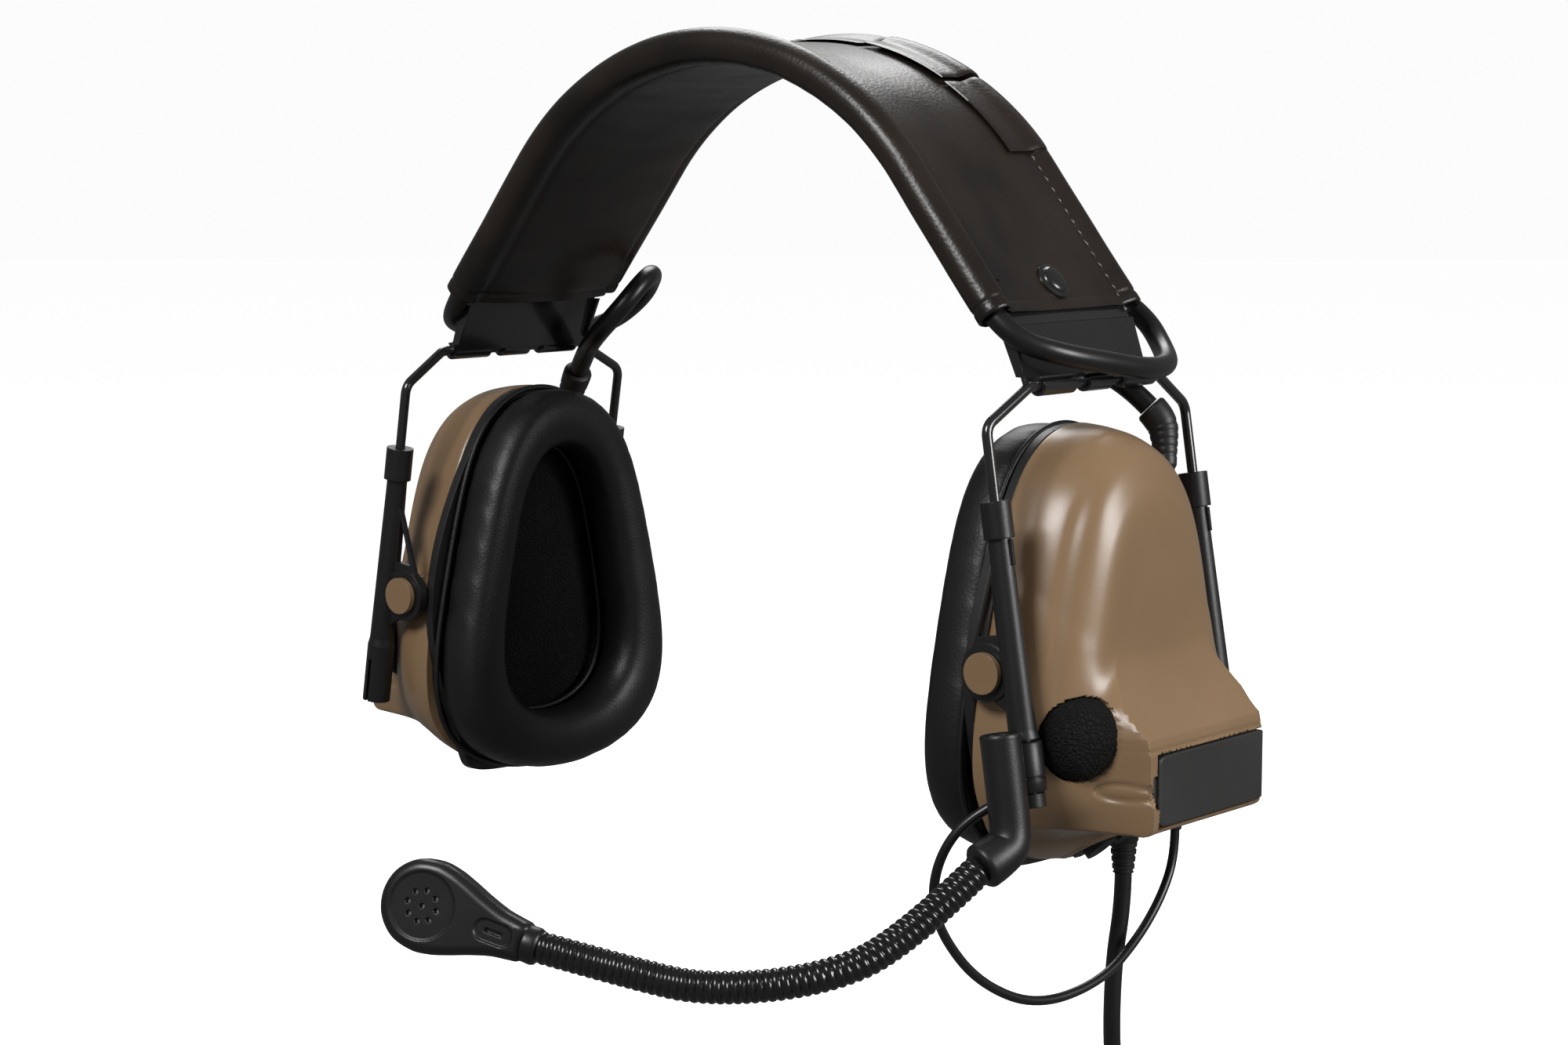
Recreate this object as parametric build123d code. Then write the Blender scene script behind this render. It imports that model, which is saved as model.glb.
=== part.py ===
from build123d import *
import os
from math import cos, pi, radians, sin, tan

# Over-ear radio headset with a boom microphone. All sizes are millimetres.
# Frame: +X is the wearer's left, -Y is forward, +Z is up. Pieces are drawn with z = 0 at the height of the
# cups' pivot studs, and lowered by crown_height as they are written: the origin is the crown rest.

# Headband: an arc over the crown, a straight stretch each side and a steeper steel end plate
crown_height = 143.2
arc_radius = 80.5
arc_top = 148.5
arc_half_angle = 52.0
straight_length = 47.0
strip_width = 50.0
strip_thickness = 1.0
end_plate_width = 52.0
tab_height = 66.5
tab_x = 99.6
tab_wall = 1.0
tab_spans = [(-24.0, -10.5), (-5.0, 5.0), (10.5, 24.0)]
pad_thickness = 3.4
pad_width = 44.0
skin = 1.1
front_roll_y = -28.5
front_roll_radius = 4.6
rear_roll_y = 28.5
rear_roll_radius = 3.4
cover_gap = 0.3
flap_front = 9.0
flap_rear = 24.6
flap_thickness = 1.0
flap_span = 17.0

# Crossover cable, thin microphone lead and downlead
crossover_diameter = 5.5
mic_lead_diameter = 2.4
downlead_diameter = 4.4

# Wire yoke and the arms that slide on it
wire_diameter = 2.6
running_clearance = 0.08
arm_lean = 9.0
bend_x = 98.2
bend_height = 58.0
bar_half_length = 27.5
wire_bend_radius = 4.0
wire_tip = -4.0
arm_top = 34.0
arm_top_radius = 2.75
arm_flare_radius = 3.4
arm_flare = -13.0
arm_flare_height = 2.0
socket_radius = 3.8
socket_bottom = -31.0
cap_radius = 3.7
cap_bottom = 32.4
cap_top = 41.2
bore_bottom = -10.0
web_thickness = 1.6
fin_thickness = 0.9
fin_height = 6.0
stub_radius = 2.3
stub_head_radius = 3.6

# Pivot studs that the cups tilt on
stud_x = 99.4
stud_stem_radius = 3.0
stud_head_radius = 5.0
stud_head_thickness = 1.6
ring_radius = 7.0
ring_thickness = 2.6
side_gap = 0.3
pin_clearance = 0.06

# Ear cup. rim_shape: (share of the half width, height) down one side of the egg outline.
# dome_sections: (distance outwards from the rim, inset at the sides, at the top, at the bottom).
rim_x = 93.5
rim_half_width = 40.6
rim_top = 56.0
rim_bottom = -52.5
rim_shape = [(0.64, 39.0), (1.0, -14.0), (0.739, -45.0)]
wall = 2.6
dome_sections = [
    (0.0, 0.0, 0.0, 0.0),
    (6.5, 0.9, 0.8, 2.3),
    (13.5, 3.6, 3.2, 6.9),
    (20.0, 9.0, 8.4, 11.9),
    (24.5, 17.0, 17.0, 19.5),
]
arm_gap = 2.0
arm_y = rim_half_width + arm_gap
boss_depth = 3.6
boss_wall = 1.4
plate_thickness = 2.5
cushion_thickness = 16.0
cushion_opening = 17.0
plate_opening = 14.0

# Battery box at the bottom of each cup
box_outer_x = 133.0
box_front = -24.0
box_rear = 28.0
box_top = -17.5
box_bottom = -38.5
box_bevel = 3.0
door_margin = 1.8
door_proud = 0.4
door_bevel = 1.0
door_front = -20.6
door_thickness = 3.6
latch_height = 7.0
door_pin_x = 130.4
door_pin_y = 26.0
door_pin_radius = 0.9
knuckle_radius = 1.8
battery_radius = 5.25
battery_length = 44.5
battery_gap = 0.5
battery_to_door = 1.15
battery_x = box_outer_x - door_thickness - battery_to_door - battery_radius
battery_y = 2.5
battery_z = -29.2
contact_thickness = 0.5
contact_gap = 0.02

# Windscreen pocket at the front of each cup
foam_centre = Vector(114.0, -26.5, -16.0)
foam_radius = 10.8
foam_gap = 0.3
pocket_wall_thickness = 2.08
foam_inward = Vector(-0.57, 0.82, 0.0).normalized()
capsule_radius = 3.0
capsule_length = 4.5

# Speaker, board and liner inside each cup
speaker_radius = 19.0
speaker_depth = 7.5
board_x = 105.5
board_thickness = 1.6

# Control recess under the left cup
recess_centre = Vector(102.6, 5.0, -46.6)
recess_along = Vector(0.12, 0.97, 0.2).normalized()
recess_out = Vector(0.62, -0.2, -0.76)
recess_length = 27.0
recess_width = 12.5
button_radius = 4.2
button_spacing = 11.0
button_height = 2.2
button_flange = 0.9
button_flange_gap = 0.15
button_flange_width = 0.8

# Boom: bracket on the left front arm, gooseneck (steps from the elbow's end) and microphone head
boom_tube_offset = -8.9
boom_tube_radius = 4.8
boom_bore_radius = 3.5
boom_tube_top = -12.4
boom_tube_bottom = -36.45
boom_bore_depth = 12.0
elbow_run = Vector(-2.7, -8.7, -6.4)
elbow_end_radius = 5.6
collar_slot = 1.0
collar_radius = 4.2
gooseneck_radius = 3.85
gooseneck_steps = [
    (-0.2, -0.6, -0.4),
    (-6.4, -21.3, -14.9),
    (-16.4, -37.3, -21.6),
    (-38.4, -51.8, -25.0),
    (-56.4, -59.2, -22.1),
    (-78.4, -68.1, -17.6),
]
head_reach = Vector(-24.0, -9.8, 7.4)
head_facing = Vector(0.423, -0.884, 0.197)
head_radius = 10.9
head_thickness = 8.0
neck_half_width = 4.9
capsule_space_radius = 5.2
capsule_space_depth = 5.4
sound_hole_radius = 0.45
sound_hole_ring = 3.7

# Routes of the free cords, chosen by hand: exit first
crossover_route = [
    (90.5, -28.6, 82.9),
    (95.5, -27.5, 77.5),
    (103.0, -19.5, 74.0),
    (106.5, -5.0, 71.5),
    (107.5, 11.0, 69.0),
    (104.5, 25.0, 69.0),
    (96.0, 36.5, 71.5),
    (87.0, 41.5, 79.5),
    (78.0, 36.5, 87.0),
    (71.5, 25.5, 86.0),
    (74.0, 17.0, 77.0),
    (83.0, 17.0, 69.5),
    (92.6, 23.2, 64.8),
    (98.4, 25.9, 58.4),
]
relief_top = Vector(98.6, 26.0, 58.2)
relief_knee = Vector(101.5, 27.4, 55.0)
relief_bottom = Vector(104.4, 25.0, 43.5)
relief_top_radius = 4.1
relief_knee_radius = 3.8
relief_bottom_radius = 2.7
relief_neck_radius = 2.2
mic_plug_centre = Vector(103.2, 33.4, -38.0)
mic_plug_radius = 2.7
mic_plug_length = 12.0
mic_lead_route = [
    (103.2, 33.4, -50.0),
    (103.2, 33.4, -57.0),
    (103.8, 27.0, -66.0),
    (104.2, 15.5, -75.0),
    (105.0, -2.0, -82.5),
    (101.5, -24.5, -84.5),
    (97.5, -43.0, -75.5),
    (95.0, -54.5, -62.0),
    (95.0, -58.5, -51.5),
    (97.5, -58.5, -41.5),
    (102.0, -55.5, -33.5),
    (106.6, -51.6, -30.0),
]
gland_centre = Vector(98.5, 17.0, -46.0)
gland_length = 13.0
gland_top_radius = 3.8
gland_bottom_radius = 2.7
downlead_route = [
    (98.5, 17.0, -59.0),
    (98.5, 17.0, -67.0),
    (98.0, 13.8, -82.0),
    (98.0, 13.2, -104.0),
    (98.0, 18.0, -116.5),
    (98.0, 27.0, -121.0),
]

# Put-away coil of the downlead, its tail and its plug
coil_radius = 25.0
coil_section = 9.6
tail_length = 22.0
tie_width = 7.0
tie_thickness = 1.2
plug_grip_radius = 6.2
plug_grip_length = 32.0
plug_radius = 3.56
plug_segments = [12.0, 0.8, 3.2, 0.8, 3.2, 0.8, 6.2]


def save(name, pieces):
    """Write one node's solids, lowered so that the origin is the crown rest."""
    solids = [solid for piece in pieces for solid in piece.solids()]
    node = Compound(solids).moved(Location((0, 0, -crown_height)))
    export_step(node, f"parts/{name}.step")


def frame_at(origin, z_dir, x_dir=None):
    """A drawing plane at a point, facing along z_dir."""
    return Plane(origin=origin, x_dir=x_dir, z_dir=z_dir)


def rod(start, end, radius, end_radius=None):
    """A round bar, or a cone, from one point to another."""
    along = Vector(end) - Vector(start)
    plane = frame_at(Vector(start), along)
    place = Pos(0, 0, along.length / 2)
    if end_radius is None:
        return plane * place * Cylinder(radius, along.length)
    return plane * place * Cone(radius, end_radius, along.length)


# Headband ------------------------------------------------------------------------------------------

arc_centre = Vector(0, 0, arc_top - arc_radius)
tangent = Vector(cos(radians(arc_half_angle)), 0, -sin(radians(arc_half_angle)))
radial = Vector(sin(radians(arc_half_angle)), 0, cos(radians(arc_half_angle)))
band_section = Plane(origin=arc_centre, x_dir=(0, 1, 0), z_dir=tangent)
straight_end = arc_centre + radial * arc_radius + tangent * straight_length


def along_band(section, straight):
    """Carry a section, drawn as (y, distance from the arc's centre), over the crown and down both sides."""
    face = band_section * section
    arc = revolve(face, Axis(arc_centre, (0, 1, 0)), revolution_arc=-2 * arc_half_angle)
    side = extrude(face, amount=straight, dir=tangent)
    return arc + side + mirror(side, about=Plane.YZ)


def slab(y_low, y_high, r_low, r_high):
    """A rectangle of a band section."""
    return Pos((y_low + y_high) / 2, (r_low + r_high) / 2) * Rectangle(y_high - y_low, r_high - r_low)


def band_end():
    """The end plate below the sleeve, with its rolled tabs and stiffening flanges, at the left."""
    half = strip_thickness / 2
    knee = straight_end
    foot = Vector(tab_x - wire_diameter / 2 - tab_wall, 0, tab_height)
    outline = Polyline(
        (knee.X - half - 0.3, knee.Z + 0.2),
        (foot.X - half, foot.Z),
        (foot.X + half, foot.Z),
        (knee.X + half + 0.3, knee.Z + 0.2),
        close=True,
    )
    plate = extrude(Plane.XZ * make_face(outline), amount=end_plate_width / 2, both=True)
    bore = wire_diameter / 2 + running_clearance
    for low, high in tab_spans:
        place = Pos(tab_x, (low + high) / 2, tab_height) * Rot(90, 0, 0)
        plate += place * Cylinder(bore + tab_wall, high - low)
    plate -= Pos(tab_x, 0, tab_height) * Rot(90, 0, 0) * Cylinder(bore, end_plate_width + 4)
    mouth = Pos(tab_x + bore, 0, tab_height + bore) * Rot(0, 45, 0)
    plate -= mouth * Box(1.1, end_plate_width + 4, 3.4)
    for y in (-end_plate_width / 2, end_plate_width / 2):
        flange = Plane.XZ * make_face(Polyline(
            (foot.X - 2.6, foot.Z + 2.0),
            (foot.X, foot.Z + 2.0),
            (knee.X, knee.Z - 1.0),
            (knee.X - 2.6, knee.Z - 1.0),
            close=True,
        ))
        plate += Pos(0, y - 0.4 * (1 if y > 0 else -1), 0) * extrude(flange, amount=0.4, both=True)
    return plate


def headband_spring():
    half = strip_thickness / 2
    strip = slab(-strip_width / 2, strip_width / 2, arc_radius - half, arc_radius + half)
    end = band_end()
    return along_band(strip, straight_length) + end + mirror(end, about=Plane.YZ)


def headband_pad():
    top = arc_radius - strip_thickness / 2 - cover_gap / 2
    section = slab(-pad_width / 2, pad_width / 2, top - pad_thickness, top)
    return along_band(section, straight_length - 8)


def headband_cover():
    """Leatherette sleeve: two skins joined by a padded roll along each edge."""
    low = arc_radius - strip_thickness / 2 - cover_gap - pad_thickness
    high = arc_radius + strip_thickness / 2 + cover_gap
    outer = slab(front_roll_y, rear_roll_y, low - skin, high + skin)
    hollow = slab(-strip_width / 2 - cover_gap, strip_width / 2 + cover_gap, low, high)
    section = outer + Pos(front_roll_y, arc_radius) * Circle(front_roll_radius)
    section += Pos(rear_roll_y, arc_radius) * Circle(rear_roll_radius)
    section -= hollow
    section -= Pos(front_roll_y - 0.1, arc_radius) * Circle(crossover_diameter / 2 + 0.1)
    return along_band(section, straight_length - 3)


def crossover_cable():
    """The stretch of the crossover cable that the sleeve's front roll holds."""
    section = Pos(front_roll_y - 0.1, arc_radius) * Circle(crossover_diameter / 2)
    return along_band(section, straight_length - 3)


def cover_flaps():
    """Overlapping closing flaps along the sleeve's rear top edge, five on the arc."""
    r_low = arc_radius + strip_thickness / 2 + cover_gap + skin + 0.05
    flaps = []
    for number, middle in enumerate((-40, -20, 0, 20, 40)):
        rise = 0.5 * (number % 2)
        section = slab(flap_front, flap_rear, r_low + rise, r_low + rise + flap_thickness)
        turned = Plane(origin=arc_centre, x_dir=(0, 1, 0), z_dir=(1, 0, 0)) * section
        flap = revolve(turned, Axis(arc_centre, (0, 1, 0)), revolution_arc=flap_span)
        flaps.append(flap.rotate(Axis(arc_centre, (0, 1, 0)), middle - flap_span / 2))
    return flaps


def press_snaps():
    """One domed press stud on the sleeve's upper skin near each end."""
    height = arc_radius + strip_thickness / 2 + cover_gap + skin + 0.02
    place = arc_centre + radial * height + tangent * (straight_length - 11)
    plane = frame_at(place, radial)
    dome = plane * (Pos(0, 0, 0.6) * Cylinder(4.2, 1.2) + Pos(0, 0, 1.5) * Cone(4.0, 2.6, 0.6))
    return [dome, mirror(dome, about=Plane.YZ)]


# Yoke and arms -------------------------------------------------------------------------------------

lean = radians(arm_lean)
leg_x = bend_x + bend_height * tan(lean)
arm_up = Vector(-sin(lean), 0, cos(lean))


def arm_plane(y):
    """Drawing plane of an arm: z runs up along its bore, x outwards."""
    return Plane(origin=(leg_x, y, 0), x_dir=(cos(lean), 0, sin(lean)), z_dir=arm_up)


def yoke_wire():
    tip = Vector(leg_x, 0, 0) + arm_up * wire_tip
    points = [
        (tip.X, -arm_y, tip.Z),
        (bend_x, -arm_y, bend_height),
        (tab_x, -bar_half_length, tab_height),
        (tab_x, bar_half_length, tab_height),
        (bend_x, arm_y, bend_height),
        (tip.X, arm_y, tip.Z),
    ]
    path = FilletPolyline(*points, radius=wire_bend_radius)
    section = frame_at(Vector(*points[0]), arm_up) * Circle(wire_diameter / 2)
    return sweep(section, path=path)


def make_arm(side, socketed):
    """One arm: tapered tube, web with a window, clip ring for the stud, and a socket or a stub below."""
    plane = arm_plane(side * arm_y)
    ring_u = (stud_x - leg_x) * cos(lean)
    ring_s = (leg_x - stud_x) * sin(lean)
    length = arm_top - arm_flare
    arm = Pos(0, 0, (arm_top + arm_flare) / 2) * Cone(arm_flare_radius, arm_top_radius, length)
    flare_low = arm_flare - arm_flare_height
    arm += Pos(0, 0, (arm_flare + flare_low) / 2) * Cone(socket_radius, arm_flare_radius, arm_flare_height)
    web = make_face(Polyline(
        (0, arm_top - 3.5), (ring_u - 5.2, ring_s + 2), (ring_u, ring_s - 6), (0, -11), close=True
    ))
    web -= make_face(Polyline((-3.5, 22.0), (-9.0, 9.8), (-3.7, 9.8), close=True))
    arm += extrude(Plane.XZ * web, amount=web_thickness / 2, both=True)
    arm += Pos(arm_top_radius + 0.1, 0, arm_top - 2 - fin_height / 2) * Box(1.4, fin_thickness, fin_height)
    turn = Pos(ring_u, 0, ring_s) * Rot(90, 0, 0)
    arm += turn * Cylinder(ring_radius, ring_thickness)
    arm -= turn * Cylinder(stud_stem_radius + pin_clearance, ring_thickness + 4)
    height = flare_low - socket_bottom
    if socketed:
        socket = Pos(0, 0, flare_low - height / 2) * Cylinder(socket_radius, height)
        arm += socket - Pos(0, 0, socket_bottom + 6) * Cylinder(boom_bore_radius - 1, 12)
        arm -= Pos(0, side * socket_radius, socket_bottom + 6) * Box(1.0, 4, 12.1)
    else:
        arm += Pos(0, 0, flare_low - height / 2) * Cylinder(stub_radius, height)
        arm += Pos(0, 0, socket_bottom + 1.6) * Cylinder(stub_head_radius, 3.2)
    bore_height = arm_top + 1 - bore_bottom
    bore = Cylinder(wire_diameter / 2 + running_clearance, bore_height)
    arm -= Pos(0, 0, bore_bottom + bore_height / 2) * bore
    return plane * arm


def arm_caps():
    """A sleeve cap over the top of each arm, which the wire leg passes through."""
    height = cap_top - cap_bottom
    cap = Pos(0, 0, cap_bottom + height / 2) * Cylinder(cap_radius, height)
    below = arm_top + 0.05
    cone_top = arm_top_radius + 0.02
    cap -= Pos(0, 0, (cap_bottom + below) / 2) * Cylinder(cone_top + 0.12, below - cap_bottom)
    cap -= Pos(0, 0, cap_top) * Cylinder(wire_diameter / 2 + running_clearance, 2 * height)
    return [arm_plane(y) * cap for y in (-arm_y, arm_y)]


def pivot_stud(side):
    """Stud moulded in the cup's colour: stem through the arm's ring and a round head outside it."""
    head_y = arm_y + ring_thickness / 2 + side_gap
    boss_y = arm_y - ring_thickness / 2 - side_gap
    stem = rod((stud_x, side * (boss_y - 1.5), 0), (stud_x, side * head_y, 0), stud_stem_radius)
    tip = (stud_x, side * (head_y + stud_head_thickness), 0)
    return stem + rod((stud_x, side * head_y, 0), tip, stud_head_radius)


# Ear cup -------------------------------------------------------------------------------------------

def egg(x, inset, top, bottom):
    """The cup's egg outline at one x: pointed above, broad below, inset at the sides."""
    narrow = 1 - inset / rim_half_width
    stretch = (top - bottom) / (rim_top - rim_bottom)
    half = rim_half_width * narrow
    inner = [(share * half, bottom + (z - rim_bottom) * stretch) for share, z in rim_shape]
    right = Spline((0, top), *inner, (0, bottom), tangents=[(1, 0), (-1, 0)])
    left = mirror(right, about=Plane.YZ)
    return Plane(origin=(x, 0, 0), x_dir=(0, 1, 0), z_dir=(1, 0, 0)) * make_face(right + left)


def egg_inset(x, inset):
    """The rim's outline drawn in by the same amount all round."""
    return egg(x, inset, rim_top - inset, rim_bottom + inset)


def egg_slab(x_low, x_high, inset):
    return extrude(egg_inset(x_low, inset), amount=x_high - x_low, dir=(1, 0, 0))


def dome(thickness):
    """The cup's domed body drawn in by a wall thickness."""
    sections = []
    for number, (depth, inset, down, up) in enumerate(dome_sections):
        x = rim_x + depth - thickness * number / (len(dome_sections) - 1)
        sections.append(egg(x, inset + thickness, rim_top - down - thickness, rim_bottom + up + thickness))
    return loft(sections)


def box_outline():
    """Side outline of the battery box and the slope that runs out to its top lip."""
    return make_face(Polyline(
        (104.0, 10.0),
        (118.0, 6.0),
        (123.5, -4.0),
        (box_outer_x - 1.5, box_top + 3.5),
        (box_outer_x, box_top + 1.0),
        (box_outer_x, box_bottom + box_bevel),
        (box_outer_x - box_bevel, box_bottom),
        (112.0, box_bottom - 1.5),
        (104.0, -44.0),
        close=True,
    ))


def along_y(face, low, high):
    """Extrude an XZ face between two y values."""
    block = extrude(Plane.XZ * face, amount=(high - low) / 2, both=True)
    return Pos(0, (low + high) / 2, 0) * block


def battery_box():
    return along_y(box_outline(), box_front, box_rear)


door_z = (box_top + box_bottom) / 2


def door_face(gap):
    """The door's side outline, grown by a gap: a plate with a bevelled lower edge."""
    z_high = box_top - door_margin + gap
    z_low = box_bottom + door_margin - gap
    inner_x = box_outer_x - door_thickness - gap
    return make_face(Polyline(
        (inner_x, z_high),
        (box_outer_x + door_proud, z_high),
        (box_outer_x + door_proud, z_low + door_bevel),
        (box_outer_x + door_proud - door_bevel, z_low),
        (inner_x, z_low),
        close=True,
    ))


def cup_shell(left):
    """The tan shell: dome, battery box, windscreen pocket and its openings, hollow behind."""
    shell = dome(0.0) + battery_box()
    boss_y = arm_y - ring_thickness / 2 - side_gap
    for side in (-1, 1):
        boss_root = (stud_x, side * (rim_half_width - boss_depth), 0)
        shell += rod(boss_root, (stud_x, side * boss_y, 0), stud_stem_radius + boss_wall)
    shell -= shell_cavity()
    shell -= Pos(*foam_centre) * Sphere(foam_radius + foam_gap)
    shell -= battery_space()
    shell -= door_space()
    shell -= relief_neck()
    for side in (-1, 1):
        hole_end = (stud_x, side * (boss_y + 1), 0)
        shell -= rod((stud_x, side * (boss_y - 1.5), 0), hole_end, stud_stem_radius)
    if left:
        shell -= recess_cut()
        shell -= rod(gland_centre, gland_centre - Vector(0, 0, 8), gland_top_radius)
        shell -= rod(mic_plug_centre, mic_plug_centre - Vector(0, 0, 9), mic_plug_radius)
    return biggest(shell)


def shell_cavity():
    """The room inside the dome, less the battery compartment's walls and the windscreen pocket's."""
    inner_x = battery_x - battery_radius - battery_gap - wall
    reach = box_outer_x - inner_x
    height = 2 * (battery_radius + battery_gap + wall)
    keep = Pos(inner_x + reach / 2, battery_y, battery_z) * Box(reach, 80, height)
    return dome(wall) - keep - pocket_wall()


def pocket_wall():
    """Outside of the windscreen pocket, as the cavity and the liner meet it."""
    return Pos(*foam_centre) * Sphere(foam_radius + foam_gap + pocket_wall_thickness)


def battery_space():
    """The battery compartment, round at the back and open towards the door."""
    radius = battery_radius + battery_gap
    reach = box_outer_x + 2 - battery_x
    length = battery_length + 2 * contact_thickness + 0.2
    cradle = Pos(battery_x, battery_y, battery_z) * Rot(90, 0, 0) * Cylinder(radius, length)
    return cradle + Pos(battery_x + reach / 2, battery_y, battery_z) * Box(reach, length, 2 * radius)


def door_space():
    """The opening that the door, its latch tab and its pins fill, with their clearances."""
    front = door_front - side_gap
    space = along_y(door_face(side_gap), front, box_rear + 1)
    space += Pos(box_outer_x - 0.4, front - 0.7, door_z) * Box(3.4, 2.2, latch_height + 2 * side_gap)
    height = box_top - box_bottom - 2 * door_margin
    knuckle = Pos(door_pin_x, door_pin_y, door_z)
    space += knuckle * Cylinder(knuckle_radius + side_gap, height + 2 * side_gap)
    return space + knuckle * Cylinder(door_pin_radius + pin_clearance, height + 2.2)


def biggest(shape):
    """The largest solid of a shape, which drops crumbs left by cuts."""
    return max(shape.solids(), key=lambda solid: solid.volume)


def back_plate():
    ring = egg_slab(rim_x - plate_thickness, rim_x, 0.5)
    ring -= egg_slab(rim_x - plate_thickness, rim_x, plate_opening)
    lip = egg_slab(rim_x, rim_x + 1.0, wall + 0.6) - egg_slab(rim_x, rim_x + 1.0, wall + 2.4)
    return ring + lip


def ear_cushion():
    low = rim_x - plate_thickness - cushion_thickness
    high = rim_x - plate_thickness
    ring = egg_slab(low, high, 0.2)
    return ring - egg_slab(low, high, cushion_opening)


def foam_liner():
    """Open-cell liner behind the plate's opening, with a round window for the speaker."""
    liner = egg_slab(rim_x + 3.2, rim_x + 10.0, 8.0)
    liner -= pocket_wall()
    liner -= Pos(rim_x, 0, rim_bottom) * Box(40, 90, 36)
    return liner - rod((rim_x, 0, 0), (rim_x + 11.0, 0, 0), speaker_radius + 0.4)


def speaker():
    """Driver: basket, rim and magnet."""
    start = rim_x + 1.2
    driver = rod((start, 0, 0), (start + 2.2, 0, 0), speaker_radius)
    driver += rod((start + 2.2, 0, 0), (start + 6.0, 0, 0), speaker_radius - 3, speaker_radius - 8)
    return driver + rod((start + 6.0, 0, 0), (start + speaker_depth, 0, 0), speaker_radius - 9)


def circuit_board():
    board = Pos(board_x + board_thickness / 2, 0, 13) * Box(board_thickness, 36, 36)
    chips = [(-10, 18, 8, 9), (8, 24, 10, 7), (-2, 6, 14, 8), (12, 10, 5, 5)]
    for y, z, width, height in chips:
        board += Pos(board_x + board_thickness + 0.6, y, z) * Box(1.2, width, height)
    return board


def ambient_mic():
    far = foam_radius + foam_gap - 0.5
    tip = foam_centre + foam_inward * (far - capsule_length)
    return rod(tip, foam_centre + foam_inward * far, capsule_radius)


def windscreen():
    foam = Pos(*foam_centre) * Sphere(foam_radius)
    hole_start = foam_centre + foam_inward * (foam_radius - capsule_length - 0.6)
    return foam - rod(hole_start, foam_centre + foam_inward * (foam_radius + 2), capsule_radius + 0.15)


def battery():
    front = Vector(battery_x, battery_y - battery_length / 2, battery_z)
    shoulder = front + Vector(0, battery_length - 1, 0)
    return rod(front, shoulder, battery_radius) + rod(shoulder, shoulder + Vector(0, 1, 0), 1.9)


def battery_contacts():
    """A leaf at each end of the battery."""
    leaf = Box(7.0, contact_thickness, 8.0)
    reach = battery_length / 2 + contact_thickness / 2 + contact_gap
    return [Pos(battery_x, battery_y + side * reach, battery_z) * leaf for side in (-1, 1)]


def battery_door():
    """Door with moulded pins at its rear end and a latch tab at its front end."""
    height = box_top - box_bottom - 2 * door_margin
    door = along_y(door_face(0.0), door_front, door_pin_y - knuckle_radius - 0.5)
    knuckle = Pos(door_pin_x, door_pin_y, door_z)
    door += knuckle * Cylinder(knuckle_radius, height)
    door += Pos(door_pin_x + 0.3, door_pin_y - 1.6, door_z) * Box(2.4, 3.2, height)
    door += knuckle * Cylinder(door_pin_radius, height + 1.6)
    door += Pos(box_outer_x - 0.6, door_front - 0.6, door_z) * Box(2.0, 1.6, latch_height)
    return biggest(door)


def relief_neck():
    """The boot's neck, which passes through the shell's wall."""
    axis = (relief_bottom - relief_knee).normalized()
    return rod(relief_bottom, relief_bottom + axis * 6, relief_neck_radius)


def strain_relief():
    """Tapered and bent rubber boot where the crossover cable enters the cup."""
    boot = rod(relief_top, relief_knee, relief_top_radius, relief_knee_radius)
    boot += Pos(*relief_knee) * Sphere(relief_knee_radius)
    boot += rod(relief_knee, relief_bottom, relief_knee_radius, relief_bottom_radius)
    return boot + relief_neck()


# Controls ------------------------------------------------------------------------------------------

def recess_plane():
    """Drawing plane on the recess floor: x along it, z outwards."""
    out = (recess_out - recess_along * recess_out.dot(recess_along)).normalized()
    return Plane(origin=recess_centre, x_dir=recess_along, z_dir=out)


def recess_cut():
    """The oval recess and the two holes that the push buttons stand in."""
    oval = extrude(SlotOverall(recess_length, recess_width), amount=14)
    cut = oval
    for side in (-1, 1):
        place = Pos(side * button_spacing / 2, 0, 0)
        cut += place * Cylinder(button_radius + side_gap, 16)
        cut += place * Pos(0, 0, -wall - 3) * Cylinder(button_radius + button_flange_width + 0.4, 6)
    return recess_plane() * cut


def push_button(side):
    """Rubber button with a flange behind the recess floor that holds it in."""
    bottom = -wall - button_flange_gap - button_flange
    cap = Pos(0, 0, (button_height + bottom) / 2) * Cylinder(button_radius, button_height - bottom)
    flange = Pos(0, 0, bottom + button_flange / 2) * Cylinder(button_radius + button_flange_width, button_flange)
    return recess_plane() * (Pos(side * button_spacing / 2, 0, 0) * (cap + flange))


# Boom ----------------------------------------------------------------------------------------------

boom_corner = arm_plane(-arm_y).origin + Vector(0, boom_tube_offset, 0) + arm_up * boom_tube_bottom
boom_end = boom_corner + elbow_run
gooseneck_points = [boom_end + Vector(*step) for step in gooseneck_steps]
head_centre = gooseneck_points[-1] + head_reach


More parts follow.
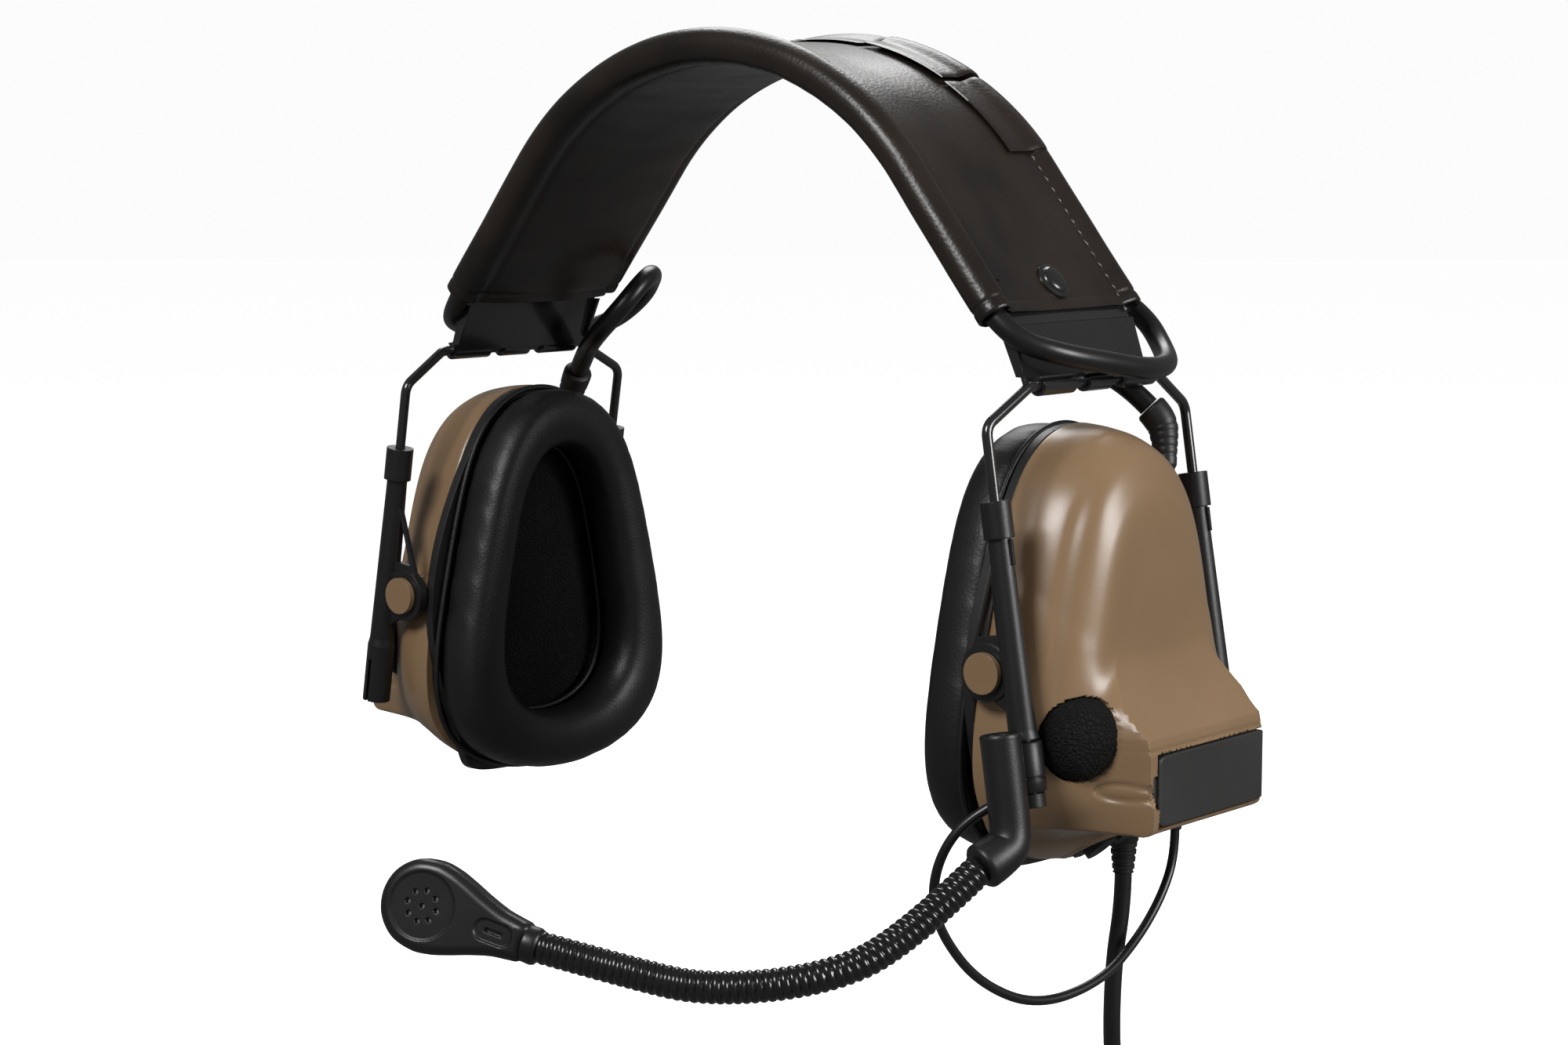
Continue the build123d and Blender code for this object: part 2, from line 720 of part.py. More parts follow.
def boom_bracket():
    """Clip collar round the arm's stub, open-topped tube beside it and the elbow below."""
    plane = arm_plane(-arm_y)
    collar_top = arm_flare - 2.3
    collar_bottom = socket_bottom + 3.5
    height = collar_top - collar_bottom
    middle = (collar_top + collar_bottom) / 2
    collar = Pos(0, 0, middle) * Cylinder(collar_radius, height)
    tube_height = boom_tube_top - boom_tube_bottom
    tube = Pos(0, boom_tube_offset, boom_tube_top - tube_height / 2) * Cylinder(boom_tube_radius, tube_height)
    bridge = Pos(0, boom_tube_offset / 2, middle) * Box(3.6, -boom_tube_offset - 3, height)
    collar += tube + bridge
    collar -= Pos(0, boom_tube_offset, boom_tube_top) * Cylinder(boom_bore_radius, 2 * boom_bore_depth)
    collar -= Pos(0, 0, middle) * Cylinder(stub_radius + pin_clearance, height + 10)
    collar -= Pos(collar_radius, 0, middle) * Box(2 * collar_radius, collar_slot, height + 2)
    bracket = plane * collar + Pos(*boom_corner) * Sphere(boom_tube_radius)
    return bracket + rod(boom_corner, boom_end, boom_tube_radius, elbow_end_radius)


def gooseneck():
    points = gooseneck_points
    radii = corner_radii(points)
    path = FilletPolyline(*points, radius=radii)
    section = frame_at(points[0], points[1] - points[0]) * Circle(gooseneck_radius)
    return sweep(section, path=path)


def head_plane():
    along = (gooseneck_points[-1] - head_centre).normalized()
    out = (head_facing - along * head_facing.dot(along)).normalized()
    return Plane(origin=head_centre, x_dir=along, z_dir=out)


def mic_head(side):
    """One half of the paddle-shaped microphone head, hollow for its capsule."""
    reach = head_reach.length - 0.6
    outline = Circle(head_radius) + make_face(Polyline(
        (4.0, head_radius - 0.9), (reach, neck_half_width), (reach, -neck_half_width), (4.0, 0.9 - head_radius),
        close=True,
    ))
    half = extrude(outline, amount=side * head_thickness / 2)
    half -= Cylinder(capsule_space_radius, capsule_space_depth)
    if side > 0:
        holes = [(0.0, 0.0)]
        for number in range(8):
            angle = radians(45 * number)
            holes.append((sound_hole_ring * cos(angle), sound_hole_ring * sin(angle)))
        for x, y in holes:
            half -= Pos(x, y, head_thickness / 2) * Cylinder(sound_hole_radius, head_thickness)
    return head_plane() * half


def boom_capsule():
    return head_plane() * Cylinder(capsule_space_radius - 0.3, capsule_space_depth - 0.2)


# Cords ---------------------------------------------------------------------------------------------

def corner_radii(points):
    """Arc radius at each corner: 0.45 of the shorter run over the tangent of half the turn."""
    radii = []
    for before, here, after in zip(points, points[1:], points[2:]):
        first = Vector(here) - Vector(before)
        second = Vector(after) - Vector(here)
        turn = radians(first.get_angle(second))
        radii.append(0.45 * min(first.length, second.length) / tan(turn / 2))
    return radii


def cord_tube(name, points, diameter):
    """A round tube along straight runs joined by tangent arcs."""
    points = [Vector(*point) for point in points]
    radii = corner_radii(points)
    path = FilletPolyline(*points, radius=radii)
    section = frame_at(points[0], points[1] - points[0]) * Circle(diameter / 2)
    tube = sweep(section, path=path)
    expected = pi * diameter ** 2 / 4 * path.length
    print(name, "radii", [round(radius, 1) for radius in radii], "length", round(path.length, 1),
          "volume share", round(tube.volume / expected, 3))
    return tube


def coil_centre():
    """The coil hangs from the downlead's last point, which is the top of its mean circle."""
    end = Vector(*downlead_route[-1])
    return end - Vector(0, 0, coil_radius)


def downlead_coil():
    """Outer shape of the neat coil that puts the downlead's spare length away."""
    section = Rectangle(coil_section, coil_section)
    section = fillet(section.vertices(), 2.5)
    ring = Plane.XZ * (Pos(0, coil_radius) * section)
    turned = revolve(ring, Axis.X)
    return Pos(*coil_centre()) * turned


def downlead_tail():
    """The end of the downlead, hanging from the coil's rear side down to the plug."""
    start = coil_centre() + Vector(0, coil_radius, 0)
    return rod(start, plug_top(), downlead_diameter / 2)


def coil_tie():
    """Strap round the coil where the downlead joins it."""
    outer = coil_section + 2 * tie_thickness
    strap = Pos(*(coil_centre() + Vector(0, 0, coil_radius))) * Box(outer, tie_width, outer)
    strap = fillet(strap.edges().filter_by(Axis.Y), 2.5)
    return biggest(strap - downlead_coil() - downlead_end())


def downlead_end():
    """The last runs of the downlead, grown a little, as the strap's hollow for them."""
    last = [Vector(*point) for point in downlead_route[-3:]]
    path = FilletPolyline(*last, radius=corner_radii(last))
    section = frame_at(last[0], last[1] - last[0]) * Circle(downlead_diameter / 2 + 0.1)
    return sweep(section, path=path)


def plug_top():
    return coil_centre() + Vector(0, coil_radius, -tail_length)


def stacked(top, radius, lengths):
    """Round segments one under the other, starting at a point."""
    pieces = []
    for length in lengths:
        bottom = top - Vector(0, 0, length)
        pieces.append(rod(top, bottom, radius))
        top = bottom
    return pieces


def plug_grip():
    """Moulded plug body with a tapered neck for the cord."""
    neck = plug_top() - Vector(0, 0, 8)
    grip = rod(plug_top(), neck, downlead_diameter / 2 + 0.8, plug_grip_radius - 1.2)
    grip += rod(neck, neck - Vector(0, 0, plug_grip_length - 8), plug_grip_radius)
    return grip


def plug_barrel():
    """The barrel's four contacts and the three insulators between them, from the grip down."""
    top = plug_top() - Vector(0, 0, plug_grip_length)
    pieces = stacked(top, plug_radius, plug_segments[:-1])
    shoulder = top - Vector(0, 0, sum(plug_segments[:-1]))
    waist = shoulder - Vector(0, 0, plug_segments[-1] * 0.45)
    tip = rod(shoulder, waist, plug_radius, plug_radius - 1.0)
    tip += rod(waist, shoulder - Vector(0, 0, plug_segments[-1]), plug_radius - 0.4, 1.2)
    pieces.append(tip)
    return pieces[0::2], pieces[1::2]


def gland():
    """Rubber gland under the left cup that the downlead leaves through."""
    waist = gland_centre - Vector(0, 0, 5)
    low = gland_centre - Vector(0, 0, gland_length)
    return rod(gland_centre, waist, gland_top_radius) + rod(waist, low, gland_top_radius, gland_bottom_radius)


def mic_lead_plug():
    return rod(mic_plug_centre, mic_plug_centre - Vector(0, 0, mic_plug_length), mic_plug_radius)


# Nodes ---------------------------------------------------------------------------------------------

def save_side(name, pieces):
    """Write a piece for the left side and its mirror for the right."""
    save(f"left_{name}", pieces)
    save(f"right_{name}", [mirror(piece, about=Plane.YZ) for piece in pieces])


def save_headband():
    save("headband_spring", [headband_spring()])
    save("headband_pad", [headband_pad()])
    save("headband_cover", [headband_cover()])
    save("cover_flaps", cover_flaps())
    save("press_snaps", press_snaps())
    save("crossover_cable", [crossover_cable()])
    save_side("crossover_loop", [cord_tube("crossover loop", crossover_route, crossover_diameter)])


def save_arms():
    save_side("yoke_wire", [yoke_wire()])
    save("left_front_arm", [make_arm(-1, socketed=False)])
    save("right_front_arm", [mirror(make_arm(-1, socketed=True), about=Plane.YZ)])
    save_side("rear_arm", [make_arm(1, socketed=True)])
    save_side("arm_caps", arm_caps())


def save_cups():
    save("left_cup_shell", [cup_shell(left=True)])
    save("right_cup_shell", [mirror(cup_shell(left=False), about=Plane.YZ)])
    save_side("pivot_studs", [pivot_stud(-1), pivot_stud(1)])
    save_side("back_plate", [back_plate()])
    save_side("ear_cushion", [ear_cushion()])
    save_side("foam_liner", [foam_liner()])
    save_side("speaker", [speaker()])
    save_side("circuit_board", [circuit_board()])
    save_side("ambient_mic", [ambient_mic()])
    save_side("windscreen", [windscreen()])
    save_side("battery", [battery()])
    save_side("battery_contacts", battery_contacts())
    save_side("battery_door", [battery_door()])
    save_side("strain_relief", [strain_relief()])


def save_boom():
    save("boom_bracket", [boom_bracket()])
    save("gooseneck", [gooseneck()])
    save("mic_head_front", [mic_head(1)])
    save("mic_head_back", [mic_head(-1)])
    save("boom_capsule", [boom_capsule()])
    save("mic_lead", [cord_tube("microphone lead", mic_lead_route, mic_lead_diameter)])
    save("mic_lead_plug", [mic_lead_plug()])


def save_controls_and_downlead():
    save("volume_up_button", [push_button(1)])
    save("volume_down_button", [push_button(-1)])
    save("downlead_gland", [gland()])
    save("downlead", [cord_tube("downlead", downlead_route, downlead_diameter)])
    save("downlead_coil", [downlead_coil()])
    save("downlead_tail", [downlead_tail()])
    save("coil_tie", [coil_tie()])
    contacts, insulators = plug_barrel()
    save("plug_grip", [plug_grip()])
    save("plug_contacts", contacts)
    save("plug_insulators", insulators)


def main():
    os.makedirs("parts", exist_ok=True)
    save_headband()
    save_arms()
    save_cups()
    save_boom()
    save_controls_and_downlead()


main()
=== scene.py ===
"""Over-ear radio headset with a boom microphone: finishes, soft pieces, cords and studio.

Sizes below are millimetres measured from the height of the cups' pivot studs. lowered() turns them into
metres in the model's own frame, whose origin is the crown rest.
"""

import logging
import math
from dataclasses import dataclass
from enum import Enum
from typing import Sequence

import bmesh
import bpy
import numpy as np
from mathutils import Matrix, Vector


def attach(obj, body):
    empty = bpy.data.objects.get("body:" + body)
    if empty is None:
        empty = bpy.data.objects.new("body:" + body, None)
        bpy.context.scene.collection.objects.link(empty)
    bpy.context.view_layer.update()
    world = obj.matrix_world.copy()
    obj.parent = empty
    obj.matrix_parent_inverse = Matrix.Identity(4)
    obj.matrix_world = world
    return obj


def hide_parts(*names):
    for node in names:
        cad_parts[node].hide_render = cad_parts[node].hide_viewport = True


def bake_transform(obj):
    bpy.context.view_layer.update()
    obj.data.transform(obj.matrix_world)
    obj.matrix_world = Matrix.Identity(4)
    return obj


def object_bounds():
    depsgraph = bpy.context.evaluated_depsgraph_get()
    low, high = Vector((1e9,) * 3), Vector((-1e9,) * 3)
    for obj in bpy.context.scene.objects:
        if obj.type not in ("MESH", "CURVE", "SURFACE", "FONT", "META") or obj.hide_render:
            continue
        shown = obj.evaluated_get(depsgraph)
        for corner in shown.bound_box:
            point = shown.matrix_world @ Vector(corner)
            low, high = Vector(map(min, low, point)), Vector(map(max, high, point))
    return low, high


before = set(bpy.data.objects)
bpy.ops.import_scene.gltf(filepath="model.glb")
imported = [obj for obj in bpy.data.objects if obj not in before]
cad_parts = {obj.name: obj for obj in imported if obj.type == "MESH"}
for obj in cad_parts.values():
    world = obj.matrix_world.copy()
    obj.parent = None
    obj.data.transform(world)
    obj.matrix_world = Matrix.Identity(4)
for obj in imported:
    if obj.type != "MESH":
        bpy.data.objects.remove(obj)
CAD_BOX = [list(corner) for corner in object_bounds()]

CROWN_HEIGHT = 143.2
Point = tuple[float, float, float]
Points = Sequence[Point]
log = logging.getLogger("headset")


# Mesh helpers --------------------------------------------------------------------------------------

def lowered(points: Sequence) -> np.ndarray:
    """Stud-level millimetres to metres in the model's frame.

    Args:
        points: One point or an array of points, in millimetres.

    Returns:
        The same array in metres, dropped by the crown height.
    """
    placed = np.array(points, dtype=float)
    placed[..., 2] -= CROWN_HEIGHT
    return placed / 1000.0


def unit(vectors: np.ndarray) -> np.ndarray:
    """Vectors divided by their own lengths."""
    length = np.linalg.norm(vectors, axis=-1, keepdims=True)
    return vectors / np.maximum(length, 1e-12)


def smooth(value: np.ndarray, low: float, high: float) -> np.ndarray:
    """Smooth step: 0 up to low, 1 from high, 3t^2 - 2t^3 between them."""
    share = np.clip((np.asarray(value, dtype=float) - low) / (high - low), 0.0, 1.0)
    return share * share * (3.0 - 2.0 * share)


def ripple(points: np.ndarray, wavelength: float, seed: int) -> np.ndarray:
    """Gentle unevenness: the mean of six sine waves that run in seeded directions through space.

    Args:
        points: Positions in millimetres, last axis x, y, z.
        wavelength: Mean distance between crests, in millimetres.
        seed: Seed of the directions and phases.

    Returns:
        A value between -1 and 1 at each point.
    """
    chance = np.random.default_rng(seed)
    directions = unit(chance.normal(size=(6, 3)))
    stretch = chance.uniform(0.7, 1.5, size=6) * 2.0 * math.pi / wavelength
    phases = chance.uniform(0.0, 2.0 * math.pi, size=6)
    return np.sin(points @ directions.T * stretch + phases).mean(axis=-1)


def grid_quads(rows: int, columns: int, loop: bool) -> tuple[np.ndarray, np.ndarray]:
    """Corner numbers of the quads between the rows of a grid whose columns close on themselves.

    Args:
        rows: Number of rings.
        columns: Points on each ring.
        loop: True if the last ring joins the first.

    Returns:
        The quads' vertex numbers, and the same corners as (row, column) counted past the seams.
    """
    row, column = np.meshgrid(np.arange(rows if loop else rows - 1), np.arange(columns), indexing="ij")
    corners = np.stack([
        np.stack([row, column], -1), np.stack([row, column + 1], -1),
        np.stack([row + 1, column + 1], -1), np.stack([row + 1, column], -1),
    ], axis=2).reshape(-1, 4, 2)
    return (corners[..., 0] % rows) * columns + corners[..., 1] % columns, corners


def running_length(grid: np.ndarray, axis: int) -> np.ndarray:
    """Distance along one direction of a grid, as the mean over the other, closed back to its start."""
    wrapped = np.concatenate([grid, np.take(grid, [0], axis=axis)], axis=axis)
    steps = np.linalg.norm(np.diff(wrapped, axis=axis), axis=-1).mean(axis=1 - axis)
    return np.concatenate([[0.0], np.cumsum(steps)])


def surface(name: str, grid: np.ndarray, loop: bool = False, sharp: float = 42.0,
            weld: bool = False) -> bpy.types.Object:
    """Closed surface through a grid of rings, with fans over the end rings and a UV map in metres.

    The signed volume, the sum of the tetrahedra from the origin to each triangle, says which way the faces
    point, and they are turned round where it is negative.

    Args:
        name: Name of the new object.
        grid: (rings, points on a ring, 3) positions in metres. Rings are closed.
        loop: True if the last ring joins the first, as on a torus.
        sharp: Edges that turn by more than this many degrees stay crisp.
        weld: True if the end rings are folded flat onto a line, where their points are merged.

    Returns:
        The new mesh object.
    """
    rows, columns = grid.shape[:2]
    quads, corners = grid_quads(rows, columns, loop)
    along, around = running_length(grid, 0), running_length(grid, 1)
    places = np.stack([around[corners[..., 1]], along[corners[..., 0]]], axis=-1).reshape(-1, 2)
    vertices = grid.reshape(-1, 3)
    triangles = np.empty((0, 3), dtype=int)
    if not loop and not weld:
        middle = np.arange(columns)
        start, end = rows * columns, rows * columns + 1
        last = (rows - 1) * columns
        first_fan = np.stack([np.full(columns, start), (middle + 1) % columns, middle], -1)
        last_fan = np.stack([np.full(columns, end), last + middle, last + (middle + 1) % columns], -1)
        triangles = np.concatenate([first_fan, last_fan])
        vertices = np.concatenate([vertices, grid[0].mean(0)[None], grid[-1].mean(0)[None]])
        fan_low = np.stack([around[middle], around[middle + 1], around[middle]], -1)
        fan_row = np.repeat([along[0], along[rows - 1]], columns)[:, None].repeat(3, axis=1)
        fan_uv = np.stack([np.concatenate([fan_low, fan_low]), fan_row], -1).reshape(-1, 2)
        places = np.concatenate([places, fan_uv])
    halves = np.concatenate([quads[:, [0, 1, 2]], quads[:, [0, 2, 3]], triangles])
    a, b, c = (vertices[halves[:, k]] for k in range(3))
    volume = np.einsum("ij,ij->i", a, np.cross(b, c)).sum()
    sizes = [4] * len(quads) + [3] * len(triangles)
    flat = np.concatenate([quads.reshape(-1), triangles.reshape(-1)])
    if volume < 0:
        turned_quads = np.arange(len(quads) * 4).reshape(-1, 4)[:, ::-1].reshape(-1)
        turned_fans = len(quads) * 4 + np.arange(len(triangles) * 3).reshape(-1, 3)[:, ::-1].reshape(-1)
        order = np.concatenate([turned_quads, turned_fans])
        flat, places = flat[order], places[order]
    mesh = bpy.data.meshes.new(name)
    mesh.vertices.add(len(vertices))
    mesh.vertices.foreach_set("co", vertices.astype(np.float32).ravel())
    mesh.loops.add(len(flat))
    mesh.loops.foreach_set("vertex_index", flat.astype(np.int32))
    mesh.polygons.add(len(sizes))
    mesh.polygons.foreach_set("loop_start", np.concatenate([[0], np.cumsum(sizes)[:-1]]).astype(np.int32))
    mesh.update(calc_edges=True)
    mesh.uv_layers.new(name="surface").data.foreach_set("uv", places.astype(np.float32).ravel())
    if weld:
        merged = bmesh.new()
        merged.from_mesh(mesh)
        bmesh.ops.remove_doubles(merged, verts=merged.verts, dist=2e-6)
        merged.to_mesh(mesh)
        merged.free()
    mesh.polygons.foreach_set("use_smooth", np.ones(len(mesh.polygons), dtype=bool))
    mesh.set_sharp_from_angle(angle=math.radians(sharp))
    mesh.validate()
    made = bpy.data.objects.new(name, mesh)
    bpy.context.scene.collection.objects.link(made)
    return made


def route_curve(name: str, route: np.ndarray) -> bpy.types.Curve:
    """Curve data with one open NURBS spline whose control points are the route, order 3, ends touched."""
    curve = bpy.data.curves.new(name, "CURVE")
    curve.dimensions = "3D"
    curve.resolution_u = 10
    curve.use_fill_caps = True
    spline = curve.splines.new("NURBS")
    spline.points.add(len(route) - 1)
    spline.points.foreach_set("co", np.column_stack([route, np.ones(len(route))]).ravel())
    spline.order_u = 3
    spline.use_endpoint_u = True
    return curve


def route_line(route: Points, spacing: float) -> np.ndarray:
    """Evenly spaced stations along the NURBS spline that has the route as its control points.

    Args:
        route: Control points in stud-level millimetres, exit first.
        spacing: Distance between stations in millimetres.

    Returns:
        (stations, 3) positions in metres.
    """
    holder = bpy.data.objects.new("route", route_curve("route", lowered(route)))
    traced = bpy.data.meshes.new_from_object(holder)
    line = np.empty(len(traced.vertices) * 3)
    traced.vertices.foreach_get("co", line)
    bpy.data.objects.remove(holder)
    return evenly(line.reshape(-1, 3), spacing / 1000.0)


def evenly(line: np.ndarray, spacing: float) -> np.ndarray:
    """The same line with its points an equal distance apart, by length along it."""
    reached = np.concatenate([[0.0], np.cumsum(np.linalg.norm(np.diff(line, axis=0), axis=1))])
    wanted = np.linspace(0.0, reached[-1], max(3, int(round(reached[-1] / spacing)) + 1))
    return np.stack([np.interp(wanted, reached, line[:, k]) for k in range(3)], axis=-1)


def line_length(line: np.ndarray) -> float:
    """Length along a line of points."""
    return float(np.linalg.norm(np.diff(line, axis=0), axis=1).sum())


def carried_frames(line: np.ndarray) -> tuple[np.ndarray, np.ndarray]:
    """Two directions across a line at each station, carried along it with no twist.

    Each side vector is the one before it less its share along the new tangent, made unit length again, and
    the other direction is the cross product of tangent and side.
    """
    tangent = unit(np.gradient(line, axis=0))
    side = np.empty_like(line)
    start = np.cross(tangent[0], (0.0, 0.0, 1.0))
    if np.linalg.norm(start) < 0.2:
        start = np.cross(tangent[0], (0.0, 1.0, 0.0))
    side[0] = start / np.linalg.norm(start)
    for station in range(1, len(line)):
        leaning = side[station - 1] - tangent[station] * side[station - 1].dot(tangent[station])
        side[station] = leaning / np.linalg.norm(leaning)
    return side, np.cross(tangent, side)


def tube_grid(line: np.ndarray, radius: np.ndarray, columns: int) -> np.ndarray:
    """Rings round a line: station + radius (cos a side + sin a across), in the line's carried frames.

    Args:
        line: (stations, 3) centreline in metres.
        radius: Radius in metres: one number, one a station, or one a station and column.
        columns: Points on each ring.

    Returns:
        (stations, columns, 3) positions in metres.
    """
    side, across = carried_frames(line)
    angle = np.arange(columns) * 2.0 * math.pi / columns
    radius = np.asarray(radius, dtype=float)
    if radius.ndim == 1:
        radius = radius[:, None]
    radius = np.broadcast_to(radius, (len(line), columns))
    ring = np.cos(angle)[None, :, None] * side[:, None] + np.sin(angle)[None, :, None] * across[:, None]
    return line[:, None] + radius[..., None] * ring


def turned_grid(profile: Sequence[tuple[float, float]], start: Sequence[float], end: Sequence[float],
                columns: int) -> np.ndarray:
    """A turned piece: rings of the profile's radii round the straight line from start to end.

    Args:
        profile: (distance from start, radius) pairs in millimetres.
        start: Point at distance 0, stud-level millimetres.
        end: Point that the axis runs towards.
        columns: Points on each ring.

    Returns:
        (rings, columns, 3) positions in metres.
    """
    shape = np.array(profile, dtype=float)
    start, end = np.array(start, dtype=float), np.array(end, dtype=float)
    axis = (end - start) / np.linalg.norm(end - start)
    side = np.cross(axis, (0.0, 1.0, 0.0) if abs(axis[1]) < 0.8 else (1.0, 0.0, 0.0))
    side /= np.linalg.norm(side)
    across = np.cross(axis, side)
    angle = np.arange(columns) * 2.0 * math.pi / columns
    ring = np.cos(angle)[:, None] * side + np.sin(angle)[:, None] * across
    return lowered(start + shape[:, 0, None, None] * axis + shape[:, 1, None, None] * ring)


def closed_profile(points: Sequence[tuple[float, float]], count: int) -> np.ndarray:
    """Smooth closed outline through points: a closed Catmull-Rom curve, resampled evenly.

    Each span is the cubic ((2 p1) + (p2 - p0) t + (2 p0 - 5 p1 + 4 p2 - p3) t^2 + (3 p1 - p0 - 3 p2 + p3)
    t^3) / 2 of its four nearest points.
    """
    p1 = np.array(points, dtype=float)[:, None]
    p0, p2, p3 = np.roll(p1, 1, axis=0), np.roll(p1, -1, axis=0), np.roll(p1, -2, axis=0)
    t = np.linspace(0.0, 1.0, 24, endpoint=False)[None, :, None]
    spans = (2 * p1 + (p2 - p0) * t + (2 * p0 - 5 * p1 + 4 * p2 - p3) * t ** 2
             + (3 * p1 - p0 - 3 * p2 + p3) * t ** 3) / 2
    dense = spans.reshape(-1, 2)
    dense = np.concatenate([dense, dense[:1]])
    reached = np.concatenate([[0.0], np.cumsum(np.linalg.norm(np.diff(dense, axis=0), axis=1))])
    wanted = np.linspace(0.0, reached[-1], count, endpoint=False)
    return np.stack([np.interp(wanted, reached, dense[:, k]) for k in range(2)], axis=-1)


def superellipse(count: int, half_width: float, half_height: float, power: float) -> np.ndarray:
    """Rounded rectangle: (w sgn cos |cos|^(2/n), h sgn sin |sin|^(2/n)) round the clock."""
    angle = np.arange(count) * 2.0 * math.pi / count
    c, s = np.cos(angle), np.sin(angle)
    return np.stack([half_width * np.sign(c) * np.abs(c) ** (2 / power),
                     half_height * np.sign(s) * np.abs(s) ** (2 / power)], axis=-1)


# Finishes ------------------------------------------------------------------------------------------

class Texture(Enum):
    """How a surface is textured."""

    FINE = "fine grain"
    PEBBLE = "leather pebble"
    CELLS = "foam cells"
    BRUSHED = "brushed lines"


HEIGHT = ("Height", "NodeSocketFloat")


def new_group(name: str, scale: float, output: tuple[str, str],
              extra: Sequence[tuple[str, str, object]] = ()) -> tuple:
    """An empty shader node group that takes a position, a scale and what else it needs.

    Args:
        name: Group name.
        scale: Scale that it starts with, per metre.
        output: (socket name, socket type).
        extra: (socket name, socket type, value it starts with) for each further input.

    Returns:
        The group, its input node and its output node.
    """
    group = bpy.data.node_groups.new(name, "ShaderNodeTree")
    group.interface.new_socket("Vector", in_out="INPUT", socket_type="NodeSocketVector")
    for label, kind, value in (("Scale", "NodeSocketFloat", scale), *extra):
        group.interface.new_socket(label, in_out="INPUT", socket_type=kind).default_value = value
    group.interface.new_socket(output[0], in_out="OUTPUT", socket_type=output[1])
    return group, group.nodes.new("NodeGroupInput"), group.nodes.new("NodeGroupOutput")


def add_node(tree: bpy.types.NodeTree, kind: str, values: dict | None = None,
             **settings: object) -> bpy.types.Node:
    """A new node.

    Args:
        tree: Node tree that it goes into.
        kind: Node type.
        values: Input socket's name or number to its value.
        **settings: The node's own properties, set before the values.

    Returns:
        The node.
    """
    node = tree.nodes.new(kind)
    for setting, value in settings.items():
        setattr(node, setting, value)
    for socket, value in (values or {}).items():
        node.inputs[socket].default_value = value
    return node


def join(tree: bpy.types.NodeTree, *wires: tuple) -> None:
    """Links (node, output, node, input) for each wire."""
    for source, output, target, entry in wires:
        tree.links.new(source.outputs[output], target.inputs[entry])


